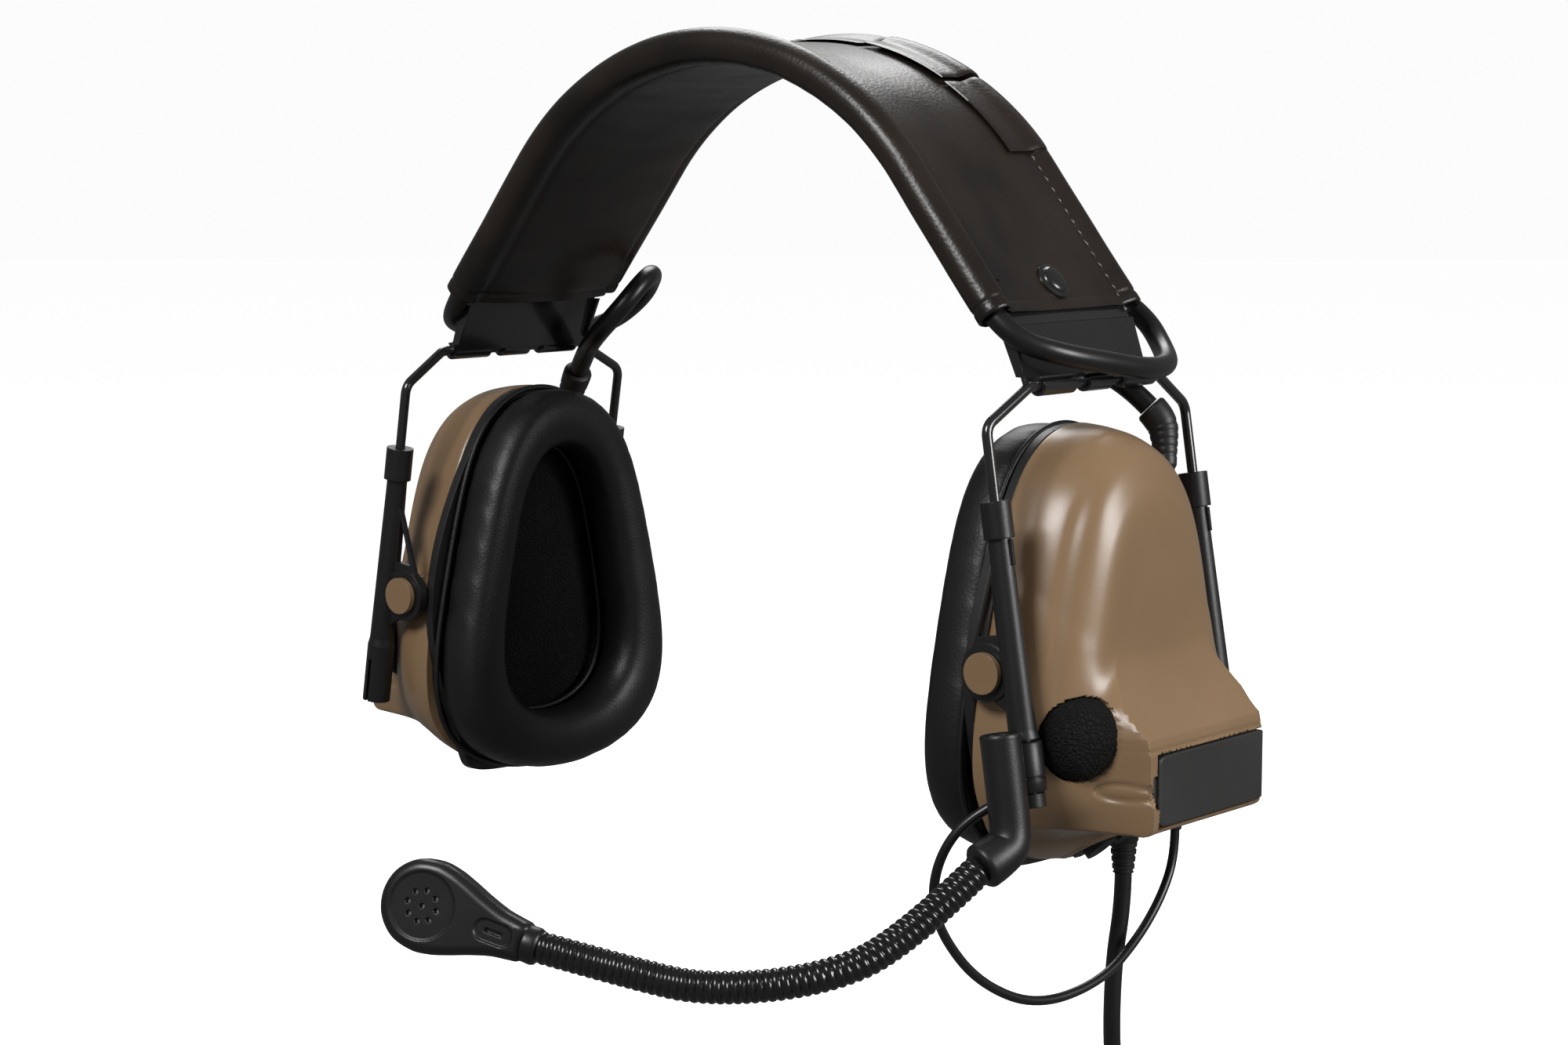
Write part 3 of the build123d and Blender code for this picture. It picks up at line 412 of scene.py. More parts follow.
class Effects:
    """The node groups that several finishes share, each built once."""

    def __init__(self) -> None:
        """Builds every group."""
        self.textures = {
            Texture.FINE: self.fine_grain(),
            Texture.PEBBLE: self.leather_pebble(),
            Texture.CELLS: self.foam_cells(),
            Texture.BRUSHED: self.brushed_lines(),
        }
        self.smudge = self.handling_smudges()
        self.tint = self.colour_drift()

    @staticmethod
    def fine_grain() -> bpy.types.NodeTree:
        """Moulded plastic's fine grain: layered noise, out as a height."""
        group, start, end = new_group("surface grain", 1500.0, HEIGHT)
        noise = add_node(group, "ShaderNodeTexNoise", {"Detail": 3.0, "Roughness": 0.62})
        join(group, (start, "Vector", noise, "Vector"), (start, "Scale", noise, "Scale"),
             (noise, "Fac", end, "Height"))
        return group

    @staticmethod
    def leather_pebble() -> bpy.types.NodeTree:
        """Leather's pebbles: rounded cells on broad soft folds."""
        group, start, end = new_group("leather pebble", 900.0, HEIGHT)
        cells = add_node(group, "ShaderNodeTexVoronoi", {"Smoothness": 0.6}, feature="SMOOTH_F1")
        folds = add_node(group, "ShaderNodeTexNoise", {"Scale": 130.0, "Detail": 4.0})
        total = add_node(group, "ShaderNodeMath", {1: 1.3}, operation="MULTIPLY_ADD")
        join(group, (start, "Vector", cells, "Vector"), (start, "Vector", folds, "Vector"),
             (start, "Scale", cells, "Scale"), (folds, "Fac", total, 0), (cells, "Distance", total, 2),
             (total, 0, end, "Height"))
        return group

    @staticmethod
    def foam_cells() -> bpy.types.NodeTree:
        """Open-cell foam: pits with thin walls between them."""
        group, start, end = new_group("foam cells", 1100.0, HEIGHT)
        cells = add_node(group, "ShaderNodeTexVoronoi", feature="DISTANCE_TO_EDGE")
        rim = add_node(group, "ShaderNodeMapRange", {"From Max": 0.22, "To Min": 1.0, "To Max": 0.0})
        join(group, (start, "Vector", cells, "Vector"), (start, "Scale", cells, "Scale"),
             (cells, "Distance", rim, "Value"), (rim, "Result", end, "Height"))
        return group

    @staticmethod
    def brushed_lines() -> bpy.types.NodeTree:
        """Drawn or turned metal: noise stretched along one direction."""
        group, start, end = new_group("brushed lines", 700.0, HEIGHT)
        stretch = add_node(group, "ShaderNodeMapping", {"Scale": (0.15, 0.15, 2.5)})
        noise = add_node(group, "ShaderNodeTexNoise", {"Detail": 2.0})
        join(group, (start, "Vector", stretch, "Vector"), (stretch, "Vector", noise, "Vector"),
             (start, "Scale", noise, "Scale"), (noise, "Fac", end, "Height"))
        return group

    @staticmethod
    def handling_smudges() -> bpy.types.NodeTree:
        """Roughness that wanders as a handled surface's does: base plus or minus an amount."""
        group, start, end = new_group("handling smudges", 60.0, ("Roughness", "NodeSocketFloat"), [
            ("Base", "NodeSocketFloat", 0.4), ("Amount", "NodeSocketFloat", 0.08)])
        noise = add_node(group, "ShaderNodeTexNoise", {"Detail": 5.0})
        centred = add_node(group, "ShaderNodeMath", {1: 0.5}, operation="SUBTRACT")
        wander = add_node(group, "ShaderNodeMath", operation="MULTIPLY_ADD")
        join(group, (start, "Vector", noise, "Vector"), (start, "Scale", noise, "Scale"),
             (noise, "Fac", centred, 0), (centred, 0, wander, 0), (start, "Amount", wander, 1),
             (start, "Base", wander, 2), (wander, 0, end, "Roughness"))
        return group

    @staticmethod
    def colour_drift() -> bpy.types.NodeTree:
        """A colour that drifts between two near tones in soft patches."""
        grey = (0.1, 0.1, 0.1, 1.0)
        group, start, end = new_group("colour drift", 25.0, ("Color", "NodeSocketColor"), [
            ("First", "NodeSocketColor", grey), ("Second", "NodeSocketColor", grey)])
        noise = add_node(group, "ShaderNodeTexNoise", {"Detail": 4.0})
        spread = add_node(group, "ShaderNodeMapRange", {"From Min": 0.3, "From Max": 0.7})
        mix = add_node(group, "ShaderNodeMix", data_type="RGBA")
        join(group, (start, "Vector", noise, "Vector"), (start, "Scale", noise, "Scale"),
             (noise, "Fac", spread, "Value"), (spread, "Result", mix, "Factor"),
             (start, "First", mix, "A"), (start, "Second", mix, "B"), (mix, "Result", end, "Color"))
        return group


@dataclass(frozen=True)
class Finish:
    """One finish: its two near tones, its gloss and its texture. Scales are per metre, depth in metres."""

    name: str
    colour: tuple[float, float, float]
    second: tuple[float, float, float]
    roughness: float
    texture: Texture = Texture.FINE
    texture_scale: float = 1500.0
    depth: float = 0.00003
    strength: float = 0.5
    wander: float = 0.06
    drift_scale: float = 40.0
    metallic: float = 0.0
    coat: float = 0.0
    sheen: float = 0.0
    specular: float = 0.5
    edge: float = 0.0

    def build(self, effects: Effects) -> bpy.types.Material:
        """The finish as a material: groups drive colour, roughness and bump of one Principled shader."""
        material = bpy.data.materials.new("finish_" + self.name)
        material.use_nodes = True
        tree = material.node_tree
        shader = tree.nodes["Principled BSDF"]
        place = tree.nodes.new("ShaderNodeTexCoord")
        tint = self.placed(tree, effects.tint, place, {
            "Scale": self.drift_scale, "First": (*self.colour, 1.0), "Second": (*self.second, 1.0)})
        smudge = self.placed(tree, effects.smudge, place, {
            "Scale": 70.0, "Base": self.roughness, "Amount": self.wander * 2.0})
        grain = self.placed(tree, effects.textures[self.texture], place, {"Scale": self.texture_scale})
        bump = add_node(tree, "ShaderNodeBump", {"Strength": self.strength, "Distance": self.depth})
        join(tree, (tint, "Color", shader, "Base Color"), (smudge, "Roughness", shader, "Roughness"),
             (grain, "Height", bump, "Height"), (bump, "Normal", shader, "Normal"))
        if self.edge:
            bevel = add_node(tree, "ShaderNodeBevel", {"Radius": self.edge}, samples=4)
            join(tree, (bevel, "Normal", bump, "Normal"))
        own = {"Metallic": self.metallic, "Specular IOR Level": self.specular, "Coat Weight": self.coat,
               "Coat Roughness": 0.12, "Sheen Weight": self.sheen, "Sheen Roughness": 0.5}
        for socket, value in own.items():
            shader.inputs[socket].default_value = value
        return material

    @staticmethod
    def placed(tree: bpy.types.NodeTree, group: bpy.types.NodeTree, place: bpy.types.Node,
               values: dict) -> bpy.types.Node:
        """A group node that reads Object coordinates, with its input values."""
        node = add_node(tree, "ShaderNodeGroup", values, node_tree=group)
        join(tree, (place, "Object", node, "Vector"))
        return node


FINISHES = {
    "spring_steel": Finish("gloss_enamel", (0.012, 0.012, 0.013), (0.016, 0.016, 0.017), 0.2,
                           texture_scale=900.0, depth=0.00002, strength=0.25, coat=0.5, edge=0.0003),
    "pad_foam": Finish("pad_foam", (0.03, 0.03, 0.03), (0.045, 0.045, 0.045), 0.9, Texture.CELLS,
                       1200.0, 0.0002),
    "leatherette": Finish("leatherette", (0.008, 0.0066, 0.0056), (0.022, 0.0152, 0.011), 0.34,
                          Texture.PEBBLE, 1100.0, 0.0001, 0.5, wander=0.09, specular=0.42),
    "snap_metal": Finish("snap_enamel", (0.008, 0.008, 0.009), (0.014, 0.013, 0.012), 0.26, coat=0.3),
    "cable_jacket": Finish("cable_jacket", (0.006, 0.006, 0.006), (0.01, 0.01, 0.01), 0.34,
                           texture_scale=1300.0, depth=0.00004, strength=0.45),
    "nylon": Finish("nylon", (0.006, 0.006, 0.0065), (0.01, 0.01, 0.011), 0.4,
                    texture_scale=1900.0, depth=0.00006, strength=0.6, edge=0.00045),
    "tan_shell": Finish("tan_shell", (0.252, 0.160, 0.086), (0.234, 0.147, 0.079), 0.3,
                        texture_scale=2400.0, depth=0.000025, strength=0.5, wander=0.05, edge=0.0004),
    "plate_plastic": Finish("plate_plastic", (0.007, 0.007, 0.008), (0.012, 0.012, 0.012), 0.46,
                            edge=0.0003),
    "cushion_skin": Finish("cushion_skin", (0.006, 0.006, 0.0066), (0.01, 0.01, 0.0105), 0.44,
                           Texture.PEBBLE, 1500.0, 0.00008, 0.5, wander=0.08, specular=0.36),
    "open_foam": Finish("open_foam", (0.003, 0.003, 0.003), (0.008, 0.008, 0.008), 0.9, Texture.CELLS,
                        900.0, 0.0006, 1.0, specular=0.25),
    "speaker_plastic": Finish("speaker_plastic", (0.03, 0.03, 0.034), (0.04, 0.04, 0.045), 0.45),
    "board": Finish("solder_mask", (0.015, 0.10, 0.04), (0.02, 0.13, 0.055), 0.3, drift_scale=180.0),
    "capsule_metal": Finish("capsule_metal", (0.4, 0.4, 0.4), (0.46, 0.46, 0.45), 0.35, Texture.BRUSHED,
                            metallic=1.0),
    "battery_jacket": Finish("battery_jacket", (0.06, 0.06, 0.065), (0.09, 0.09, 0.095), 0.35, coat=0.3),
    "contact_metal": Finish("contact_metal", (0.55, 0.47, 0.3), (0.6, 0.52, 0.36), 0.3, Texture.BRUSHED,
                            metallic=1.0),
    "door_rubber": Finish("door_rubber", (0.019, 0.019, 0.0185), (0.028, 0.028, 0.027), 0.5,
                          texture_scale=1700.0, depth=0.00005, strength=0.5, edge=0.0006),
    "boot_rubber": Finish("boot_rubber", (0.007, 0.007, 0.0075), (0.012, 0.012, 0.012), 0.46),
    "gooseneck_sleeve": Finish("gooseneck_sleeve", (0.005, 0.005, 0.0055), (0.008, 0.008, 0.008), 0.22,
                               texture_scale=1100.0, depth=0.00002, strength=0.3, coat=0.25),
    "mic_plastic": Finish("mic_plastic", (0.006, 0.006, 0.0065), (0.01, 0.01, 0.01), 0.36,
                          texture_scale=2000.0, depth=0.00005, strength=0.5, edge=0.0003),
    "plug_metal": Finish("plug_metal", (0.5, 0.48, 0.44), (0.58, 0.56, 0.51), 0.22, Texture.BRUSHED,
                         metallic=1.0, edge=0.0002),
    "plug_insulator": Finish("plug_insulator", (0.015, 0.015, 0.015), (0.02, 0.02, 0.02), 0.4),
}


class Wardrobe:
    """Holds the built materials and puts them on pieces."""

    def __init__(self) -> None:
        """Builds each finish once."""
        effects = Effects()
        self.materials = {slot: finish.build(effects) for slot, finish in FINISHES.items()}

    def dress_cad(self) -> None:
        """Gives every carried-over solid the finish of its slot."""
        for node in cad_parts.values():
            for held in node.material_slots:
                held.material = self.materials[held.material.name.split(".")[0]]

    def dress(self, piece: bpy.types.Object, slot: str) -> bpy.types.Object:
        """Puts a slot's finish on a new piece."""
        piece.data.materials.clear()
        piece.data.materials.append(self.materials[slot])
        return piece

    def fit(self, name: str, grid: np.ndarray, slot: str, body: str, *nodes: str,
            **shape: object) -> bpy.types.Object:
        """A new surface with its finish, riding on its body and standing for its nodes.

        Args:
            name: Name of the new piece.
            grid: Its rings, as surface() takes them.
            slot: Slot of its finish.
            body: Body that it rides on.
            *nodes: Solids that it stands for.
            **shape: loop, sharp or weld, as surface() takes them.

        Returns:
            The piece.
        """
        piece = self.dress(surface(name, grid, **shape), slot)
        if nodes:
            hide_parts(*nodes)
        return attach(piece, body)


# Cords ---------------------------------------------------------------------------------------------

def side_points(points: Points | np.ndarray, side: float) -> np.ndarray:
    """Left-side points as they are for side 1, mirrored across the middle for side -1."""
    return np.array(points, dtype=float) * np.array([side, 1.0, 1.0])


def side_name(side: float) -> str:
    """The wearer's side that a sign stands for."""
    return "left" if side > 0 else "right"


def cord_stretches(name: str, line: np.ndarray, parts: int, diameter: float,
                   columns: int) -> list[tuple[bpy.types.Object, np.ndarray]]:
    """A cord as tubes that follow each other, one for each joint that it crosses.

    Args:
        name: Stem of the pieces' names.
        line: Centreline in metres.
        parts: Number of stretches of equal length.
        diameter: In metres.
        columns: Points round the tube.

    Returns:
        (piece, centreline) for each stretch.
    """
    cuts = np.linspace(0, len(line) - 1, parts + 1).round().astype(int)
    whole = tube_grid(line, diameter / 2.0, columns)
    made = []
    for number, (low, high) in enumerate(zip(cuts, cuts[1:])):
        piece = surface(f"{name}_{number + 1}", whole[low:high + 1])
        made.append((piece, line[low:high + 1]))
    return made


@dataclass
class CrossoverLoop:
    """Crossover cable's free loop: out of the sleeve's mouth, round behind the band and into the cup."""

    side: float
    diameter: float = 5.5
    route: Points = (
        (90.5, -28.6, 82.9), (95.5, -27.5, 77.5), (103.0, -19.5, 74.0), (106.5, -5.0, 71.5),
        (107.5, 11.0, 69.0), (104.5, 25.0, 69.0), (96.0, 36.5, 71.5), (87.0, 41.5, 79.5),
        (78.0, 36.5, 87.0), (71.5, 25.5, 86.0), (74.0, 17.0, 77.0), (83.0, 17.0, 69.5),
        (92.6, 23.2, 64.8), (98.4, 25.9, 58.4),
    )

    def build(self, wardrobe: Wardrobe) -> None:
        """Three stretches, one for each joint between the headband and the cup."""
        name = side_name(self.side)
        line = route_line(side_points(self.route, self.side), 1.0)
        bodies = ["headband", f"{name}_yoke", f"{name}_arms", f"{name}_cup"]
        stretches = cord_stretches(f"{name}_crossover_cord", line, 3, self.diameter / 1000, 24)
        for (piece, path), before, after in zip(stretches, bodies, bodies[1:]):
            wardrobe.dress(piece, "cable_jacket")
            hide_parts(f"{name}_crossover_loop")
            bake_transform(piece)
        log.info("%s crossover loop, %.0f mm", name, line_length(line) * 1000)


@dataclass
class MicrophoneLead:
    """Thin lead from the left cup, forward under it and up into the boom's tube."""

    diameter: float = 2.4
    route: Points = (
        (103.2, 33.4, -50.0), (103.2, 33.4, -57.0), (103.8, 27.0, -66.0), (104.2, 15.5, -75.0),
        (105.0, -2.0, -82.5), (101.5, -24.5, -84.5), (97.5, -43.0, -75.5), (95.0, -54.5, -62.0),
        (95.0, -58.5, -51.5), (97.5, -58.5, -41.5), (102.0, -55.5, -33.5), (106.6, -51.6, -30.0),
    )

    def build(self, wardrobe: Wardrobe) -> None:
        """Two stretches, one for each joint between the cup and the boom."""
        line = route_line(self.route, 0.8)
        bodies = ["left_cup", "left_arms", "boom"]
        stretches = cord_stretches("microphone_lead", line, 2, self.diameter / 1000, 16)
        carried = [[self.lead_plug(wardrobe)], []]
        for (piece, path), before, after, extras in zip(stretches, bodies, bodies[1:], carried):
            wardrobe.dress(piece, "cable_jacket")
            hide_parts("mic_lead")
            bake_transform(piece)
        log.info("microphone lead, %.0f mm", line_length(line) * 1000)

    @staticmethod
    def lead_plug(wardrobe: Wardrobe) -> bpy.types.Object:
        """Moulded plug body of the lead: a turned piece with two grip grooves and a tapered tail."""
        profile = [(0, 2.2), (0.4, 2.7), (4.0, 2.7), (4.3, 2.35), (4.9, 2.35), (5.2, 2.7), (6.0, 2.7),
                   (6.3, 2.35), (6.9, 2.35), (7.2, 2.7), (8.2, 2.65), (10.0, 2.0), (12.0, 1.6)]
        grid = turned_grid(profile, (103.2, 33.4, -38.0), (103.2, 33.4, -50.0), 32)
        return wardrobe.fit("microphone_lead_plug", grid, "boot_rubber", "left_cup", "mic_lead_plug")


@dataclass
class Downlead:
    """Downlead: from the gland under the left cup, down into its put-away coil, and on to the plug."""

    diameter: float = 4.4
    coil_radius: float = 25.0
    layer: float = 2.3
    turns: float = 4.2
    points_per_turn: int = 16
    hanging: Points = (
        (98.5, 17.0, -59.0), (98.5, 17.0, -67.0), (98.0, 13.8, -82.0), (98.0, 13.2, -104.0),
        (97.2, 18.0, -118.0),
    )
    coil_centre: tuple[float, float, float] = (98.0, 27.0, -146.0)

    def coil_points(self) -> np.ndarray:
        """Control points of the turns, beside and on each other, a little over four times round.

        Turn by turn the strand moves to the next place of a two by two bundle: its offset along the coil's
        axis and from its mean radius change smoothly over the last eighth of each turn. The last quarter
        lies outside the bundle. The radius is divided by the share that the spline cuts from a corner.
        """
        turns = np.arange(1.0, self.turns * self.points_per_turn) / self.points_per_turn
        sideways = np.array([-1.0, 1.0, 1.0, -1.0, 0.0, 0.0]) * self.layer
        outward = np.array([-1.0, -1.0, 1.0, 1.0, 2.6, 2.6]) * self.layer
        whole = turns.astype(int)
        late = np.where(whole == 4, 0.0, smooth(turns - whole, 0.86, 1.0))
        at_last = smooth(turns, 4.02, 4.12)
        axial = sideways[whole] * (1 - late) + sideways[np.minimum(whole + 1, 3)] * late
        radial = outward[whole] * (1 - late) + outward[np.minimum(whole + 1, 3)] * late
        axial = np.where(whole == 4, sideways[3] * (1 - at_last) + sideways[4] * at_last, axial)
        radial = np.where(whole == 4, outward[3] * (1 - at_last) + outward[4] * at_last, radial)
        cut = (1.0 + math.cos(math.pi / self.points_per_turn)) / 2.0
        radius = (self.coil_radius + radial) / cut
        angle = turns * 2.0 * math.pi
        offsets = np.stack([axial, np.sin(angle) * radius, np.cos(angle) * radius], axis=-1)
        return np.array(self.coil_centre) + offsets

    def build(self, wardrobe: Wardrobe) -> None:
        """One spline for the whole lead, with its gland and plug."""
        x, y, z = self.coil_centre
        tail = [(x, y + 30.2, z + 2.0), (x, y + 28.6, z - 6.0), (x, y + self.coil_radius, z - 15.0),
                (x, y + self.coil_radius, z - 24.0)]
        route = np.concatenate([np.array(self.hanging), self.coil_points(), np.array(tail)])
        curve = route_curve("downlead_cord", lowered(route))
        curve.bevel_depth = self.diameter / 2000
        curve.bevel_resolution = 4
        cord = bpy.data.objects.new("downlead_cord", curve)
        bpy.context.scene.collection.objects.link(cord)
        wardrobe.dress(cord, "cable_jacket")
        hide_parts("downlead", "downlead_coil", "downlead_tail")
        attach(cord, "left_cup")
        length = line_length(route_line(route, 1.0))
        pieces = [self.gland(wardrobe), self.plug_body(wardrobe)]
        tuple(lowered(self.hanging[0]))
        log.info("downlead, %.0f mm", length * 1000)

    @staticmethod
    def gland(wardrobe: Wardrobe) -> bpy.types.Object:
        """Rubber gland: a turned collar and a tapered neck with four flexing ribs."""
        profile = [(0, 3.4), (0.4, 3.8), (4.6, 3.8), (5.0, 3.5)]
        for number in range(4):
            start, radius = 5.2 + 1.9 * number, 3.5 - 0.2 * number
            profile += [(start, radius), (start + 1.0, radius - 0.05), (start + 1.2, radius - 0.45),
                        (start + 1.7, radius - 0.45)]
        profile += [(12.9, 2.75), (13.0, 2.5)]
        grid = turned_grid(profile, (98.5, 17.0, -46.0), (98.5, 17.0, -59.0), 36)
        return wardrobe.fit("downlead_gland_ribbed", grid, "boot_rubber", "left_cup", "downlead_gland")

    @staticmethod
    def plug_body(wardrobe: Wardrobe) -> bpy.types.Object:
        """Moulded plug grip: a turned neck, a waist and nine grip rings, rounded at both ends."""
        profile = [(0.0, 2.8), (0.3, 3.0), (7.6, 5.0), (8.0, 5.3), (8.6, 6.0), (9.2, 6.2), (10.4, 6.2)]
        for number in range(9):
            start = 11.0 + 1.8 * number
            profile += [(start, 6.2), (start + 0.3, 5.75), (start + 0.9, 5.75), (start + 1.2, 6.2)]
        profile += [(28.0, 6.2), (31.2, 6.2), (31.8, 5.9), (32.0, 5.4)]
        grid = turned_grid(profile, (98.0, 52.0, -168.0), (98.0, 52.0, -200.0), 48)
        return wardrobe.fit("plug_grip_ribbed", grid, "boot_rubber", "left_cup", "plug_grip")


# Headband ------------------------------------------------------------------------------------------

@dataclass
class Headband:
    """The leatherette sleeve over the steel band: two skins, a padded roll along each edge, five flaps."""

    arc_radius: float = 80.5
    arc_top: float = 148.5
    half_angle: float = 52.0
    straight: float = 44.0
    skin: float = 1.3
    profile: tuple = (
        (-33.1, 0.0), (-31.9, 3.1), (-28.6, 4.7), (-25.6, 3.6), (-23.9, 2.1), (-22.2, 2.15), (-12.0, 1.75),
        (0.0, 1.6), (12.0, 1.75), (20.0, 1.95), (23.6, 1.8), (25.3, 2.5), (28.3, 3.5), (31.0, 2.4),
        (31.9, 0.0), (31.0, -2.4), (28.6, -3.5), (25.6, -3.5), (23.6, -4.7), (12.0, -5.5), (0.0, -5.7),
        (-12.0, -5.5), (-22.6, -4.9), (-25.2, -4.3), (-28.4, -4.7), (-31.9, -3.2),
    )

    def band_frames(self, stations: np.ndarray) -> tuple[np.ndarray, np.ndarray, np.ndarray]:
        """Centre x, z of the strip and its outward x, z at distances along it from the crown.

        On the arc the outward direction turns with distance over radius; past its end it stays, and the
        strip runs straight along the tangent.
        """
        reach = math.radians(self.half_angle)
        angle = np.clip(stations / self.arc_radius, -reach, reach)
        beyond = stations - angle * self.arc_radius
        outward = np.stack([np.sin(angle), np.cos(angle)], axis=-1)
        along = np.stack([np.cos(angle), -np.sin(angle)], axis=-1)
        centre = outward * self.arc_radius + along * beyond[:, None]
        centre[:, 1] += self.arc_top - self.arc_radius
        return centre, outward, along

    def carried(self, stations: np.ndarray, outline: np.ndarray) -> np.ndarray:
        """Positions in millimetres of an outline (y, height) carried along the band.

        Args:
            stations: Distance from the crown for each ring.
            outline: (points, 2), or one outline a ring, (rings, points, 2).

        Returns:
            (rings, points, 3) positions.
        """
        centre, outward, _ = self.band_frames(stations)
        outline = np.broadcast_to(outline, (len(stations),) + outline.shape[-2:])
        flat = centre[:, None] + outward[:, None] * outline[..., 1:]
        return np.stack([flat[..., 0], outline[..., 0], flat[..., 1]], axis=-1)

    def sleeve(self) -> np.ndarray:
        """The sleeve's grid: inside the left mouth, out and over the crown, and in at the right mouth.

        The inner rings are the outline drawn in by the skin along its normals. The upper face's sag and
        the underside's small puckers come from sine waves, and the hems are a little thicker.
        """
        outline = closed_profile(self.profile, 172)
        normal = unit(np.roll(outline, -1, axis=0) - np.roll(outline, 1, axis=0))
        normal = np.stack([-normal[:, 1], normal[:, 0]], axis=-1)
        outward = np.sign((normal * (outline - outline.mean(0))).sum())
        normal = normal * outward
        half = math.radians(self.half_angle) * self.arc_radius + self.straight
        body = np.linspace(-half, half, 560)
        lip = np.array([half - 9.0, half - 3.0, half - 0.8])
        stations = np.concatenate([-lip, [-half], body[1:-1], [half], lip[::-1]])
        inside = np.abs(np.arange(len(stations)) - (len(stations) - 1) / 2) > len(body) / 2 - 0.6
        drawn_in = np.where(inside, self.skin, 0.0)
        drawn_in[len(lip)] = drawn_in[-len(lip) - 1] = 0.45
        hem = np.exp(-((np.abs(stations) - half + 3.2) / 0.5) ** 2) * np.where(inside, 0.0, -0.25)
        outlines = outline - normal * (drawn_in - hem)[:, None, None]
        flat = self.carried(stations, outlines)
        under = smooth(-outline[:, 1], 3.0, 5.0)
        pucker = 0.22 * ripple(flat * np.array([1.0, 0.25, 1.0]), 9.0, 3) * under
        wave = 0.16 * ripple(flat, 26.0, 8)
        _, outward_xz, _ = self.band_frames(stations)
        lift = np.where(inside[:, None], 0.0, pucker + wave)
        flat[..., 0] += outward_xz[:, None, 0] * lift
        flat[..., 2] += outward_xz[:, None, 1] * lift
        return lowered(flat)

    def flap(self, middle: float, rise: float, span: float = 27.0) -> np.ndarray:
        """One closing flap: a thin strip that lies on the sleeve and wraps over the rear roll.

        Its section is a centreline, flat and then round the roll, with the thickness laid off on both
        sides; its corners are rounded by drawing the section's ends in near the flap's ends.
        """
        reach = np.linspace(0.0, 1.0, 30)
        y = np.where(reach < 0.55, 14.5 + 12.0 * reach / 0.55, 0.0)
        turn = np.clip((reach - 0.55) / 0.45, 0.0, 1.0) * math.radians(88.0)
        roll = 4.2 + rise
        height = np.where(reach < 0.55, 2.6 + rise + 1.4 * smooth(reach, 0.3, 0.55), 0.0)
        y = np.where(reach >= 0.55, 26.5 + (roll + 1.4) * np.sin(turn), y)
        height = np.where(reach >= 0.55, roll * np.cos(turn) - 0.2, height)
        line = np.stack([y, height], axis=-1)
        across = unit(np.gradient(line, axis=0))
        across = np.stack([-across[:, 1], across[:, 0]], axis=-1)
        thick = 0.4 * (1 - np.abs(2 * reach - 1) ** 12) ** 0.5
        stations = np.linspace(-1.0, 1.0, 41)
        width = np.clip(1 - np.abs(stations) ** 14, 0.0, 1.0) ** 0.5
        upper = line + across * thick[:, None]
        lower = (line - across * thick[:, None])[::-1]
        outline = np.concatenate([upper, lower])
        heart = np.concatenate([line, line[::-1]])
        outlines = heart + (outline - heart) * (0.15 + 0.85 * width)[:, None, None]
        distance = math.radians(middle) * self.arc_radius + stations * span / 2
        return lowered(self.carried(distance, outlines))

    def seam(self, y: float, height: float) -> np.ndarray:
        """A run of stitches: a thin thread along the band that dips between its stitches."""
        half = math.radians(self.half_angle) * self.arc_radius + self.straight - 2.0
        stations = np.arange(-half, half, 0.42)
        dip = 0.2 * np.cos(2 * math.pi * stations / 3.4) + 0.02
        ring = superellipse(6, 0.28, 0.28, 2.0)
        outlines = ring[None] + np.stack([np.full_like(dip, y), height + dip], axis=-1)[:, None]
        return lowered(self.carried(stations, outlines))

    def snap(self, side: float) -> np.ndarray:
        """Press stud: a turned dome on the sleeve's upper skin near its end."""
        half = math.radians(self.half_angle) * self.arc_radius + self.straight - 8.0
        centre, outward, _ = self.band_frames(np.array([half * side]))
        out = np.array([outward[0, 0], 0.0, outward[0, 1]])
        base = np.array([centre[0, 0], 0.0, centre[0, 1]]) + 1.3 * out
        profile = [(0, 4.6), (0.5, 5.0), (0.9, 4.9), (1.1, 4.2), (1.2, 3.9), (1.7, 3.7), (2.1, 2.9),
                   (2.35, 1.6), (2.4, 0.4)]
        return turned_grid(profile, base, base + out, 40)

    def build(self, wardrobe: Wardrobe) -> None:
        """Makes the sleeve, its flaps, its seams and its press studs."""
        sleeve = wardrobe.fit("sleeve", self.sleeve(), "leatherette", "headband", "headband_cover",
                              sharp=60.0)
        for number, middle in enumerate((-40.0, -20.0, 0.0, 20.0, 40.0)):
            grid = self.flap(middle, 0.55 * (number % 2))
            wardrobe.fit(f"closing_flap_{number + 1}", grid, "leatherette", "headband", "cover_flaps")
        for name, y, height in (("front", -24.2, 2.0), ("rear", 23.9, 1.72)):
            wardrobe.fit(f"{name}_seam", self.seam(y, height), "leatherette", "headband")
        for side in (1.0, -1.0):
            grid = self.snap(side)
            wardrobe.fit(f"{side_name(side)}_press_stud", grid, "snap_metal", "headband", "press_snaps")
        log.info("headband sleeve, five flaps, two seams and two press studs")


# Ear cups ------------------------------------------------------------------------------------------

EGG_HALF_WIDTH = 40.6
EGG_TOP = 56.0
EGG_BOTTOM = -52.5
EGG_MIDDLE = (EGG_TOP + EGG_BOTTOM) / 2.0


